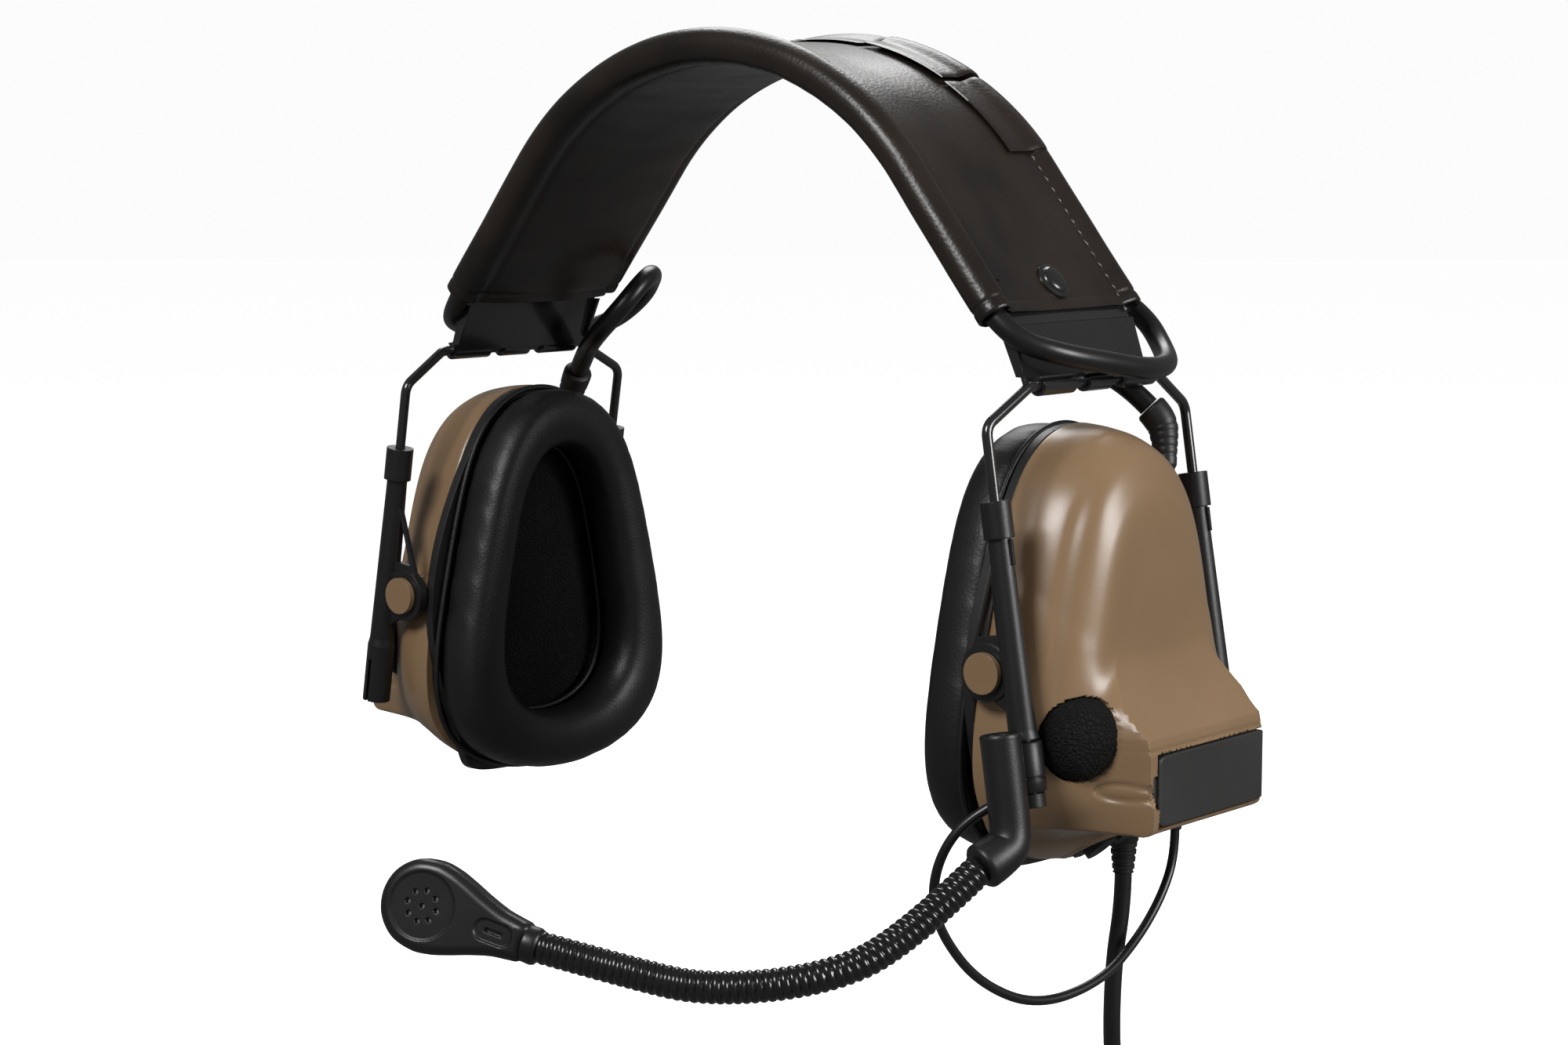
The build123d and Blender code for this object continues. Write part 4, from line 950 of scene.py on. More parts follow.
def egg(turn: np.ndarray, inset: np.ndarray, top: np.ndarray, bottom: np.ndarray) -> tuple:
    """The cups' egg outline: y = w sin t (0.925 - 0.310 cos t + 0.357 cos^2 t), z = middle + half cos t.

    Args:
        turn: Angle round the outline, 0 at the top, in radians.
        inset: How far the sides are drawn in, in millimetres.
        top: Height of the outline's top.
        bottom: Height of its bottom.

    Returns:
        y and z in millimetres.
    """
    c, s = np.cos(turn), np.sin(turn)
    y = (EGG_HALF_WIDTH - inset) * s * (0.9249 - 0.3102 * c + 0.3565 * c ** 2)
    z = bottom + (top - bottom) * (1.0 + c) / 2.0
    return y, z


def egg_inset(turn: np.ndarray, inset: np.ndarray) -> tuple:
    """The outline drawn in by the same amount at the sides, top and bottom."""
    return egg(turn, inset, EGG_TOP - inset, EGG_BOTTOM + inset)


@dataclass
class EarCushion:
    """Soft ear cushion: an egg-shaped ring, puffed by a short cloth simulation."""

    low: float = 75.0
    high: float = 91.0
    width: float = 16.8
    swell: float = 1.6
    voxel: float = 0.0024
    pressure: float = 4.0
    frames: int = 20
    welt_x: float = 89.9
    welt_insets: tuple[tuple[str, float], ...] = (("outer", 0.5), ("inner", 16.3))

    def ring(self, inner: float = 0.35) -> np.ndarray:
        """The cushion before it swells: a rounded section carried round the egg.

        The section is a superellipse, squarer at the plate than at the head side, and its inset from the
        rim's outline and its x come from it directly.
        """
        turn = np.arange(300) * 2 * math.pi / 300
        section = superellipse(72, self.width / 2 - inner, (self.high - self.low) / 2 - inner, 2.6)
        flat = superellipse(72, self.width / 2 - inner, (self.high - self.low) / 2 - inner, 4.5)
        base = smooth(section[:, 1], -2.0, 4.0)[:, None]
        section = section * (1 - base) + flat * base
        inset = 0.2 + self.width / 2 - section[:, 0]
        y, z = egg_inset(turn[:, None], inset[None])
        x = np.broadcast_to((self.low + self.high) / 2 + section[:, 1], y.shape)
        return np.stack([x, y, z], axis=-1)

    def puffed(self) -> bpy.types.Object:
        """The left cushion, swollen by Cloth with its base held, capped, and made smooth again."""
        start = surface("left_cushion", lowered(self.ring()))
        start = self.simulate(start)
        return start

    def simulate(self, start: bpy.types.Object) -> bpy.types.Object:
        """Voxel remesh, Cloth under pressure, then at most the swell, and none at the base.

        Args:
            start: The cushion before it swells.

        Returns:
            The same object, swollen.
        """
        remesh = start.modifiers.new("voxels", "REMESH")
        remesh.mode = "VOXEL"
        remesh.voxel_size = self.voxel
        remesh.use_smooth_shade = True
        self.settle(start)
        count = len(start.data.vertices)
        rest = np.empty(count * 3)
        start.data.vertices.foreach_get("co", rest)
        rest = rest.reshape(-1, 3)
        cloth = start.modifiers.new("cloth", "CLOTH")
        cloth.settings.use_pressure = True
        cloth.settings.uniform_pressure_force = self.pressure
        cloth.settings.effector_weights.gravity = 0.0
        cloth.settings.quality = 4
        cloth.settings.tension_stiffness = 12.0
        cloth.settings.bending_stiffness = 0.3
        cloth.point_cache.frame_start, cloth.point_cache.frame_end = 1, self.frames
        for number in range(1, self.frames + 1):
            bpy.context.scene.frame_set(number)
        self.settle(start)
        bpy.context.scene.frame_set(1)
        moved = np.empty(count * 3)
        start.data.vertices.foreach_get("co", moved)
        move = moved.reshape(-1, 3) - rest
        size = np.linalg.norm(move, axis=1, keepdims=True)
        move *= np.minimum(1.0, self.swell / 1000 / np.maximum(size, 1e-9))
        free = 1.0 - smooth(rest[:, 0] * 1000, self.high - 6.0, self.high - 0.5)
        start.data.vertices.foreach_set("co", (rest + move * free[:, None]).ravel())
        even = start.modifiers.new("even", "SMOOTH")
        even.iterations = 6
        self.settle(start)
        finer = start.modifiers.new("finer", "SUBSURF")
        finer.levels = finer.render_levels = 1
        self.settle(start)
        start.data.polygons.foreach_set("use_smooth", np.ones(len(start.data.polygons), dtype=bool))
        return start

    @staticmethod
    def settle(piece: bpy.types.Object) -> None:
        """Makes the piece's modifiers part of its mesh."""
        view = bpy.context.evaluated_depsgraph_get()
        done = bpy.data.meshes.new_from_object(piece.evaluated_get(view))
        piece.modifiers.clear()
        piece.data = done

    def piping(self, inset: float, x: float, radius: float = 0.75) -> np.ndarray:
        """Welt where the cushion's skin is sewn: a round cord carried round the egg, in millimetres."""
        turn = np.arange(320) * 2 * math.pi / 320
        ring = superellipse(14, radius, radius, 2.0)
        y, z = egg_inset(turn[:, None], inset - ring[None, :, 0])
        return np.stack([np.broadcast_to(x + ring[:, 1], y.shape), y, z], axis=-1)

    def build(self, wardrobe: Wardrobe) -> None:
        """Makes the left cushion, its mirror on the right, and their welts."""
        left = self.puffed()
        right = bpy.data.objects.new("right_cushion", left.data.copy())
        bpy.context.scene.collection.objects.link(right)
        turned = np.empty(len(right.data.vertices) * 3)
        right.data.vertices.foreach_get("co", turned)
        right.data.vertices.foreach_set("co", side_points(turned.reshape(-1, 3), -1.0).ravel())
        right.data.flip_normals()
        for piece, side in ((left, 1.0), (right, -1.0)):
            name = side_name(side)
            wardrobe.dress(piece, "cushion_skin")
            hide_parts(f"{name}_ear_cushion")
            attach(piece, f"{name}_cup")
            for place, inset in self.welt_insets:
                grid = lowered(side_points(self.piping(inset, self.welt_x), side))
                wardrobe.fit(f"{name}_{place}_welt", grid, "cushion_skin", f"{name}_cup", loop=True)
        log.info("two ear cushions with welts")


def through(knots: Sequence[float], values: Sequence[float], at: np.ndarray) -> np.ndarray:
    """Smooth curve through values: cubic Hermite spans whose slopes are the neighbours' mean slope."""
    knots, values = np.array(knots), np.array(values)
    slope = np.gradient(values, knots)
    span = np.clip(np.searchsorted(knots, at) - 1, 0, len(knots) - 2)
    width = knots[span + 1] - knots[span]
    t = (at - knots[span]) / width
    rise = values[span + 1] - values[span]
    bend_a = slope[span] * width - rise
    bend_b = rise - slope[span + 1] * width
    return values[span] + rise * t + t * (1 - t) * (bend_a * (1 - t) + bend_b * t)


def snapped(value: np.ndarray, edges: Sequence[float], where: np.ndarray, reach: float = 0.5) -> np.ndarray:
    """Moves values near an edge onto it, a hair to their own side, so that the edge runs straight."""
    for edge in edges:
        away = value - edge
        onto = edge + np.where(away >= 0, 0.03, -0.03)
        value = np.where(where & (np.abs(away) < reach), onto, value)
    return value


@dataclass
class CupShell:
    """Moulded shell: a dome whose face runs out over a concave ramp into the battery box.

    Over each (y, z) the outer surface has one x, so the features are heights: furrow, ramp and box, then
    the door's recess with the battery trough, and the windscreen's pocket. The left shell also has the
    control recess, which is cut along its own direction.
    """

    side: float
    wall: float = 2.6
    rim_x: float = 93.5
    spread: tuple = (0.0, 0.12, 0.24, 0.36, 0.48, 0.73, 1.0)
    depths: tuple = (0.0, 6.7, 13.8, 20.2, 23.8, 25.1, 25.5)
    insets: tuple = (0.0, 0.9, 3.4, 7.2, 12.8, 26.5, 40.3)
    drops: tuple = (0.0, 0.7, 2.4, 6.4, 13.6, 32.5, 52.5)
    rises: tuple = (0.0, 2.3, 6.9, 11.9, 18.4, 35.5, 54.5)
    box_face: float = 133.0
    box_y: tuple[float, float] = (-24.0, 28.0)
    box_bottom: float = -38.5
    box_edge: float = 2.2
    box_corner: float = 3.4
    ramp_low: float = 117.0
    ramp_rise: float = 15.2
    ramp_top: float = 12.0
    ramp_span: float = 27.3
    lip_z: float = -15.3
    door_y: float = -20.9
    door_z: tuple[float, float] = (-37.0, -19.0)
    door_floor: float = 129.1
    hinge_well: float = 127.9
    hinge_y: float = 22.9
    latch_z: float = -28.0
    post: tuple[float, float] = (-25.2, -28.2)
    trough_axis: tuple[float, float] = (123.0, -29.2)
    trough_ends: tuple[float, float] = (-20.35, 25.35)
    trough_radius: float = 5.75
    pocket_centre: tuple[float, float, float] = (114.0, -26.5, -16.0)
    pocket_radius: float = 11.1
    recess_centre: tuple[float, float, float] = (102.6, 5.0, -46.6)
    recess_along: tuple[float, float, float] = (0.1203, 0.9723, 0.2005)
    recess_out: tuple[float, float, float] = (0.6777, 0.0672, -0.7323)
    recess_size: tuple[float, float] = (27.0, 12.5)
    outer_rings: int = 148
    inner_rings: int = 30
    columns: int = 440

    def dome(self, reach: np.ndarray, columns: int, inside: float) -> np.ndarray:
        """The plain dome: egg outlines whose depth and insets run through the section values.

        Args:
            reach: 0 at the rim to 1 at the centre, one a ring.
            columns: Points on each ring.
            inside: Wall thickness to draw the dome in by, 0 for the outer surface.
        """
        turn = np.arange(columns)[None] * 2 * math.pi / columns
        depth, inset, drop, rise = (through(self.spread, table, reach)[:, None]
                                    for table in (self.depths, self.insets, self.drops, self.rises))
        shrink = inside * (1 - reach[:, None])
        y, z = egg(turn, inset + shrink, EGG_TOP - drop - shrink, EGG_BOTTOM + rise + shrink)
        x = self.rim_x + depth - inside * reach[:, None]
        return np.stack([np.broadcast_to(x, y.shape), y, z], axis=-1)

    def face(self, z: np.ndarray) -> np.ndarray:
        """Height of ramp and box: 117 + 15.2 ((12 - z) / 27.3)^2.2 down to the lip, then a bevelled band.

        Above z = 4 the ramp falls away as a parabola, so that the plain dome stands over it. The box's
        lower edge is a quarter circle of radius 2.2.
        """
        share = np.clip(self.ramp_top - z, 0.0, self.ramp_span) / self.ramp_span
        ramp = self.ramp_low + self.ramp_rise * share ** 2.2
        ramp = ramp - 0.06 * np.maximum(z - 4.0, 0.0) ** 2
        band = self.box_face - 0.22 * np.clip(z + 19.0, 0.0, 4.0)
        groove = 0.4 * np.exp(-((z + 18.0) / 0.28) ** 2)
        edge = self.box_edge
        low = np.clip(self.box_bottom + edge - z, 0.0, edge)
        rounding = edge - np.sqrt(np.maximum(edge ** 2 - low ** 2, 0.0))
        return np.where(z > self.lip_z, ramp, band - groove - rounding)

    def raised(self, shape: np.ndarray) -> np.ndarray:
        """Adds the ramp, the box and the fuller band under the windscreen to the plain dome.

        The ramp rises over the dome by a soft maximum, times exp(-q / w) at distance q beyond its own
        front, rear or bottom edge. The box's rear corner is a quarter circle of radius 3.4.
        """
        x, y, z = shape[..., 0], shape[..., 1], shape[..., 2]
        narrowing = 10.0 * smooth(z, -14.0, 14.0)
        front = np.maximum(self.box_y[0] + narrowing - y, 0.0)
        rear = np.maximum(y - self.box_y[1] + narrowing, 0.0)
        below = np.maximum(self.box_bottom - z, 0.0)
        radius = self.box_corner
        corner = np.clip(y - self.box_y[1] + radius, 0.0, radius)
        height = self.face(z) - (radius - np.sqrt(radius ** 2 - corner ** 2)) * smooth(-z, 8.0, 16.0)
        lift = 0.7 * np.logaddexp(0.0, (height - x) / 0.7)
        fade = np.exp(-front / (2.6 + 0.5 * narrowing) - rear / (1.6 + 0.5 * narrowing) - below / 0.9)
        x = x + lift * np.where(front + rear + below > 0, fade, 1.0)
        x = x + 1.5 * np.exp(-((y + 29.0) / 10.0) ** 2 - ((z + 33.0) / 5.5) ** 2)
        return np.stack([x, y, z], axis=-1)

    def hollowed(self, shape: np.ndarray) -> np.ndarray:
        """Cuts door recess, latch notch and post, battery trough and the windscreen's pocket."""
        x, y, z = shape[..., 0], shape[..., 1], shape[..., 2]
        in_door = (y > self.door_y) & (z > self.door_z[0]) & (z < self.door_z[1]) & (y < self.box_y[1] + 1)
        latch = (y > self.door_y - 1.6) & (y <= self.door_y) & (np.abs(z - self.latch_z) < 3.8)
        x = np.where(latch, np.minimum(x, self.box_face - 2.2), x)
        x = np.where(in_door, np.minimum(x, self.door_floor), x)
        x = np.where(in_door & (y > self.hinge_y), np.minimum(x, self.hinge_well), x)
        axis_x, axis_z = self.trough_axis
        trough = self.trough_radius ** 2 - (z - axis_z) ** 2
        in_trough = in_door & (trough > 0) & (y > self.trough_ends[0]) & (y < self.trough_ends[1])
        x = np.where(in_trough, np.minimum(x, axis_x - np.sqrt(np.maximum(trough, 0.0))), x)
        scoop = np.hypot(y - self.post[0], z - self.post[1])
        x = x - 1.5 * (1 - smooth(scoop, 1.9, 3.0)) * (y < self.door_y - 1.6)
        x = x + 1.5 * np.sqrt(np.clip(1 - (scoop / 1.5) ** 2, 0.0, 1.0))
        return self.pocketed(np.stack([x, y, z], axis=-1), self.pocket_radius)

    def pocketed(self, shape: np.ndarray, radius: float) -> np.ndarray:
        """Points inside the pocket's sphere go down to its floor."""
        away = shape - np.array(self.pocket_centre)
        depth = radius ** 2 - (away[..., 1] ** 2 + away[..., 2] ** 2)
        inside = (depth > 0) & (away[..., 0] ** 2 < depth)
        shape = shape.copy()
        floor = self.pocket_centre[0] - np.sqrt(np.maximum(depth, 0.0))
        shape[..., 0] = np.where(inside, floor, shape[..., 0])
        return shape

    def recessed(self, shape: np.ndarray, spare: float, lip: float) -> np.ndarray:
        """Cuts the oval control recess: points over its floor go down to it along its own outward way."""
        along, out = unit(np.array(self.recess_along)), unit(np.array(self.recess_out))
        across = np.cross(out, along)
        local = shape - np.array(self.recess_centre)
        height = local @ out
        half, radius = self.recess_size[0] / 2, self.recess_size[1] / 2 + spare
        reach = np.maximum(np.abs(local @ along) - half + radius - spare, 0.0)
        edge = np.hypot(reach, local @ across) - radius
        near = (height < 7.0) & (height > -4.0)
        cut = np.where(near, np.maximum(height + spare, 0.0) * (1 - smooth(edge, -0.7, 0.1)), 0.0)
        ridge = np.where(near, lip * np.exp(-((edge - 1.3) / 1.0) ** 2), 0.0)
        return shape + (ridge - cut)[..., None] * out

    def grid(self) -> np.ndarray:
        """Rings from the hollow side's centre to the rim, and from the rim over the outside to its centre.

        A shallow Gaussian furrow runs up each side, just outside the shoulder.
        """
        reach = np.linspace(0.0, 0.985, self.outer_rings)
        outer = self.dome(reach, self.columns, 0.0)
        y, z = outer[..., 1], outer[..., 2]
        by_door = (y > self.door_y - 0.6) & (y < self.box_y[1] + 0.6) & (z < self.lip_z + 0.6) \
            & (z > self.box_bottom - 0.6)
        z = snapped(z, (*self.door_z, self.lip_z, self.box_bottom), by_door)
        y = snapped(y, (self.door_y, *self.box_y), (z < self.lip_z + 1.0) & (z > self.box_bottom - 1.0))
        furrow = 1.1 * np.exp(-((reach[:, None] - 0.315) / 0.035) ** 2)
        furrow = furrow * smooth(z, -12.0, 0.0) * (1 - smooth(z, 34.0, 48.0))
        outer = np.stack([outer[..., 0] - furrow, y, z], axis=-1)
        outer = self.hollowed(self.raised(outer))
        rounding = np.array([1.2, 0.5, 0.1])[:, None]
        outer[:3, :, 1:] *= 1 - rounding[..., None] / 120.0
        inner = self.dome(np.linspace(0.97, 0.0, self.inner_rings), self.columns, self.wall)
        inner = self.pocketed(inner, self.pocket_radius + 1.8)
        if self.side > 0:
            outer = self.recessed(outer, 0.0, 0.5)
            inner = self.recessed(inner, 2.2, 0.0)
        return lowered(side_points(np.concatenate([inner, outer]), self.side))

    def boss(self, way: float) -> np.ndarray:
        """Turned boss that a pivot stud stands on."""
        profile = [(0.0, 5.6), (2.5, 4.8), (4.4, 4.4), (4.9, 4.2), (5.1, 3.6)]
        start = (99.4 * self.side, way * 35.9, 0.0)
        return turned_grid(profile, start, (99.4 * self.side, way * 45.0, 0.0), 40)

    def keypad(self) -> np.ndarray:
        """Black membrane on the control recess's floor: an oval slab with a soft edge."""
        along, out = unit(np.array(self.recess_along)), unit(np.array(self.recess_out))
        across = np.cross(out, along)
        turn = np.arange(120) * 2 * math.pi / 120
        radius, straight = self.recess_size[1] / 2 - 0.75, (self.recess_size[0] - self.recess_size[1]) / 2
        unit_ring = np.stack([np.cos(turn), np.sin(turn)], axis=-1)
        shift = np.stack([np.sign(np.cos(turn)) * straight, np.zeros(120)], axis=-1)
        rings = [(0.05, 0.45), (0.6, 0.45), (0.93, 0.42), (1.0, 0.15), (1.0, -0.5), (0.05, -0.5)]
        layers = [shift * share + unit_ring * radius * share for share, _ in rings]
        flat = np.stack(layers)
        height = np.array([rise for _, rise in rings])[:, None, None]
        return lowered(np.array(self.recess_centre) + flat[..., :1] * along + flat[..., 1:] * across
                       + height * out)

    def build(self, wardrobe: Wardrobe) -> None:
        """Makes the shell, its two bosses and, on the left, the control membrane."""
        name = side_name(self.side)
        wardrobe.fit(f"{name}_moulded_shell", self.grid(), "tan_shell", f"{name}_cup", f"{name}_cup_shell",
                     sharp=38.0)
        for way, place in ((-1.0, "front"), (1.0, "rear")):
            wardrobe.fit(f"{name}_{place}_boss", self.boss(way), "tan_shell", f"{name}_cup")
        if self.side > 0:
            wardrobe.fit("control_membrane", self.keypad(), "boot_rubber", "left_cup")
        log.info("%s shell", name)


@dataclass
class BatteryDoor:
    """Rubber-faced battery door: a plate that turns inwards round its rear end, and its latch tab."""

    side: float
    outer: float = 133.4
    inner: float = 129.5
    front: float = -20.6
    rear: float = 27.7
    middle: float = -28.0
    half_height: float = 8.62
    wrap: float = 3.2
    tab_y: float = -21.3
    tab_sections: tuple[tuple[float, float], ...] = (
        (0.05, 132.6), (0.8, 132.6), (0.97, 132.5), (1.0, 132.2), (1.0, 131.5), (0.97, 131.4),
        (0.05, 131.4),
    )

    def plate(self) -> np.ndarray:
        """Rings of a rounded outline from the outer face's middle to its edge, and back along the inside.

        The face is flat and a quarter ellipse takes it inwards over the last stretch before its rear end.
        """
        ring = superellipse(200, (self.rear - self.front) / 2, self.half_height, 14.0)
        level = 40
        share = np.concatenate([np.linspace(0.02, 0.97, level), [0.985, 0.995, 1.0, 1.0, 0.995, 0.02]])
        sunk = np.concatenate([np.zeros(level), [0.05, 0.2, 0.5, 0.0, 0.0, 0.0]])[:, None]
        flat = ring[None] * share[:, None, None]
        y = flat[..., 0] + (self.front + self.rear) / 2
        turn = np.clip((y - self.rear + self.wrap) / self.wrap, 0.0, 1.0)
        face = self.outer - self.wrap * (1 - np.sqrt(np.maximum(1 - 0.94 * turn ** 2, 0.0)))
        x = np.where(np.arange(len(share))[:, None] < level + 3, face - sunk, self.inner)
        return lowered(side_points(np.stack([x, y, flat[..., 1] + self.middle], axis=-1), self.side))

    def tab(self) -> np.ndarray:
        """Latch tab in front of the plate: a small rounded block, its sections (share of outline, x)."""
        ring = superellipse(48, 0.75, 3.5, 8.0)
        share, x = np.array(self.tab_sections).T
        flat = ring[None] * share[:, None, None]
        x = np.broadcast_to(x[:, None], flat.shape[:2])
        block = np.stack([x, flat[..., 0] + self.tab_y, flat[..., 1] + self.middle], axis=-1)
        return lowered(side_points(block, self.side))

    def build(self, wardrobe: Wardrobe) -> None:
        """Makes plate and tab."""
        name = side_name(self.side)
        for label, grid in (("door_plate", self.plate()), ("door_tab", self.tab())):
            wardrobe.fit(f"{name}_{label}", grid, "door_rubber", f"{name}_door", f"{name}_battery_door",
                         sharp=50.0)
        log.info("%s battery door", name)


@dataclass
class CupDressing:
    """What each cup carries besides its shell: windscreen, liner cover and the crossover's boot."""

    side: float
    foam_centre: tuple[float, float, float] = (114.0, -26.5, -16.0)
    foam_radius: float = 10.8
    boot: Points = ((98.6, 26.0, 58.2), (101.5, 27.4, 55.0), (103.0, 26.4, 49.5), (104.4, 25.0, 43.5),
                    (105.4, 24.2, 39.0))

    def windscreen(self) -> np.ndarray:
        """Foam ball: rings of a sphere whose radius wavers with the foam's cells."""
        polar = np.linspace(0.03, math.pi - 0.03, 90)[:, None]
        turn = np.arange(160)[None] * 2 * math.pi / 160
        ball = np.stack([np.sin(polar) * np.cos(turn), np.sin(polar) * np.sin(turn),
                         np.cos(polar) * np.ones_like(turn)], axis=-1)
        radius = self.foam_radius - 0.1 + 0.12 * ripple(ball * self.foam_radius, 1.6, 5) \
            + 0.12 * ripple(ball * self.foam_radius, 5.0, 6)
        return np.array(self.foam_centre) + ball * radius[..., None]

    def liner(self) -> np.ndarray:
        """Liner cover: a lens across the plate's opening, crowned towards the ear.

        Rings are egg outlines drawn in from the opening's edge, first over the crowned face and then back
        over the flat one; x = 93.4 - 1.6 (1 - rho^2) on the crowned face.
        """
        turn = np.arange(200)[None] * 2 * math.pi / 200
        share = np.linspace(0.04, 1.0, 40)
        reach = np.concatenate([share, share[::-1]])[:, None]
        face = 93.0 - 1.4 * (1 - reach ** 2)
        behind = np.where(np.arange(80)[:, None] < 40, face, 97.5 - 1.0 * reach ** 6)
        y, z = egg_inset(turn, 14.6)
        y, z = y * reach, EGG_MIDDLE + (z - EGG_MIDDLE) * reach
        return np.stack([np.broadcast_to(behind, y.shape), y, z], axis=-1)

    def boot_grid(self) -> np.ndarray:
        """Boot: a tapered tube along its bent line, ringed by shallow flexing grooves."""
        line = route_line(side_points(self.boot, self.side), 0.35)
        share = np.linspace(0.0, 1.0, len(line))
        radius = 4.1 - 1.5 * smooth(share, 0.1, 0.85) - 0.5 * smooth(share, 0.75, 0.8)
        grooves = (smooth(share, 0.18, 0.24) - smooth(share, 0.66, 0.72)) * np.cos(share * 2 * math.pi * 11)
        radius = radius - 0.18 * np.clip(grooves, 0.0, 1.0)
        radius[0] -= 0.5
        radius[1] -= 0.15
        return tube_grid(line, radius / 1000, 36)

    def build(self, wardrobe: Wardrobe) -> None:
        """Makes the three pieces on one cup."""
        name = side_name(self.side)
        ball, lens = (lowered(side_points(grid, self.side)) for grid in (self.windscreen(), self.liner()))
        pieces = (("windscreen", ball, "open_foam", "windscreen"),
                  ("liner_cover", lens, "open_foam", "foam_liner"),
                  ("crossover_boot", self.boot_grid(), "boot_rubber", "strain_relief"))
        for label, grid, slot, node in pieces:
            piece = wardrobe.fit(f"{name}_{label}_soft", grid, slot, f"{name}_cup", f"{name}_{node}",
                                 sharp=50.0)
        log.info("%s windscreen, liner cover and boot", name)


# Boom ----------------------------------------------------------------------------------------------

@dataclass
class BoomBracket:
    """Clip on the left front arm: a collar round the arm's foot, an open-topped tube and a bent elbow."""

    arm_foot: tuple[float, float, float] = (107.386, -42.6, 0.0)
    lean: float = 9.0
    collar_span: tuple[float, float] = (-15.4, -28.0)
    bore: float = 3.5
    route: Points = (
        (109.33, -51.5, -12.3), (111.0, -51.5, -23.0), (112.6, -51.6, -33.5), (113.2, -52.6, -38.0),
        (112.0, -56.0, -40.2), (110.4, -60.2, -42.4),
    )

    def up(self) -> np.ndarray:
        """Direction of the arm's bore."""
        return np.array([-math.sin(math.radians(self.lean)), 0.0, math.cos(math.radians(self.lean))])

    def tube(self) -> np.ndarray:
        """Rings down the inside of the open top, over its lip and down the outside to the elbow's end.

        The outer radius is 4.8, flares to 5.0 at the lip and grows to 5.6 along the elbow.
        """
        line = route_line(self.route, 0.5)
        share = np.linspace(0.0, 1.0, len(line))
        outside = 4.85 + 0.75 * smooth(share, 0.62, 0.95) + 0.12 * (1 - smooth(share, 0.0, 0.03))
        outside[0], outside[-2], outside[-1] = 4.6, 5.45, 5.0
        deep = 24
        stations = np.concatenate([line[deep:0:-1], line])
        radius = np.concatenate([np.full(deep, self.bore), outside])
        side, across = carried_frames(line)
        turn = np.arange(48) * 2 * math.pi / 48
        ring = np.cos(turn)[None, :, None] * side[:, None] + np.sin(turn)[None, :, None] * across[:, None]
        rings = np.concatenate([ring[deep:0:-1], ring])
        return stations[:, None] + radius[:, None, None] / 1000 * rings

    def collar(self) -> np.ndarray:
        """Turned collar round the arm's foot, with a groove and softened ends."""
        profile = [(0.0, 3.4), (0.2, 4.0), (0.5, 4.2), (8.2, 4.2), (8.35, 3.9), (8.75, 3.9), (8.9, 4.2),
                   (11.6, 4.2), (12.0, 3.9), (12.1, 3.3)]
        foot = np.array(self.arm_foot)
        start, end = (foot + self.up() * along for along in self.collar_span)
        return turned_grid(profile, start, end, 48)

    def bridge(self) -> np.ndarray:
        """Rounded web between collar and tube: a superellipse carried straight down."""
        foot, up = np.array(self.arm_foot), self.up()
        share = np.array([0.0, 0.03, 0.08, 0.92, 0.97, 1.0])
        size = np.array([0.86, 0.96, 1.0, 1.0, 0.96, 0.86])[:, None, None]
        out = np.array([up[2], 0.0, -up[0]])
        flat = superellipse(40, 2.1, 4.4, 3.5)[None] * size
        centre = foot + np.array([0.0, -4.45, 0.0]) + up * (-15.8 - 11.2 * share[:, None])
        return lowered(centre[:, None] + flat[..., :1] * out + flat[..., 1:] * np.array([0.0, 1.0, 0.0]))

    def build(self, wardrobe: Wardrobe) -> None:
        """Makes the three parts of the bracket."""
        parts = (("boom_tube", self.tube()), ("boom_collar", self.collar()), ("boom_bridge", self.bridge()))
        for name, grid in parts:
            wardrobe.fit(name, grid, "nylon", "boom", "boom_bracket", sharp=50.0)
        log.info("boom bracket")


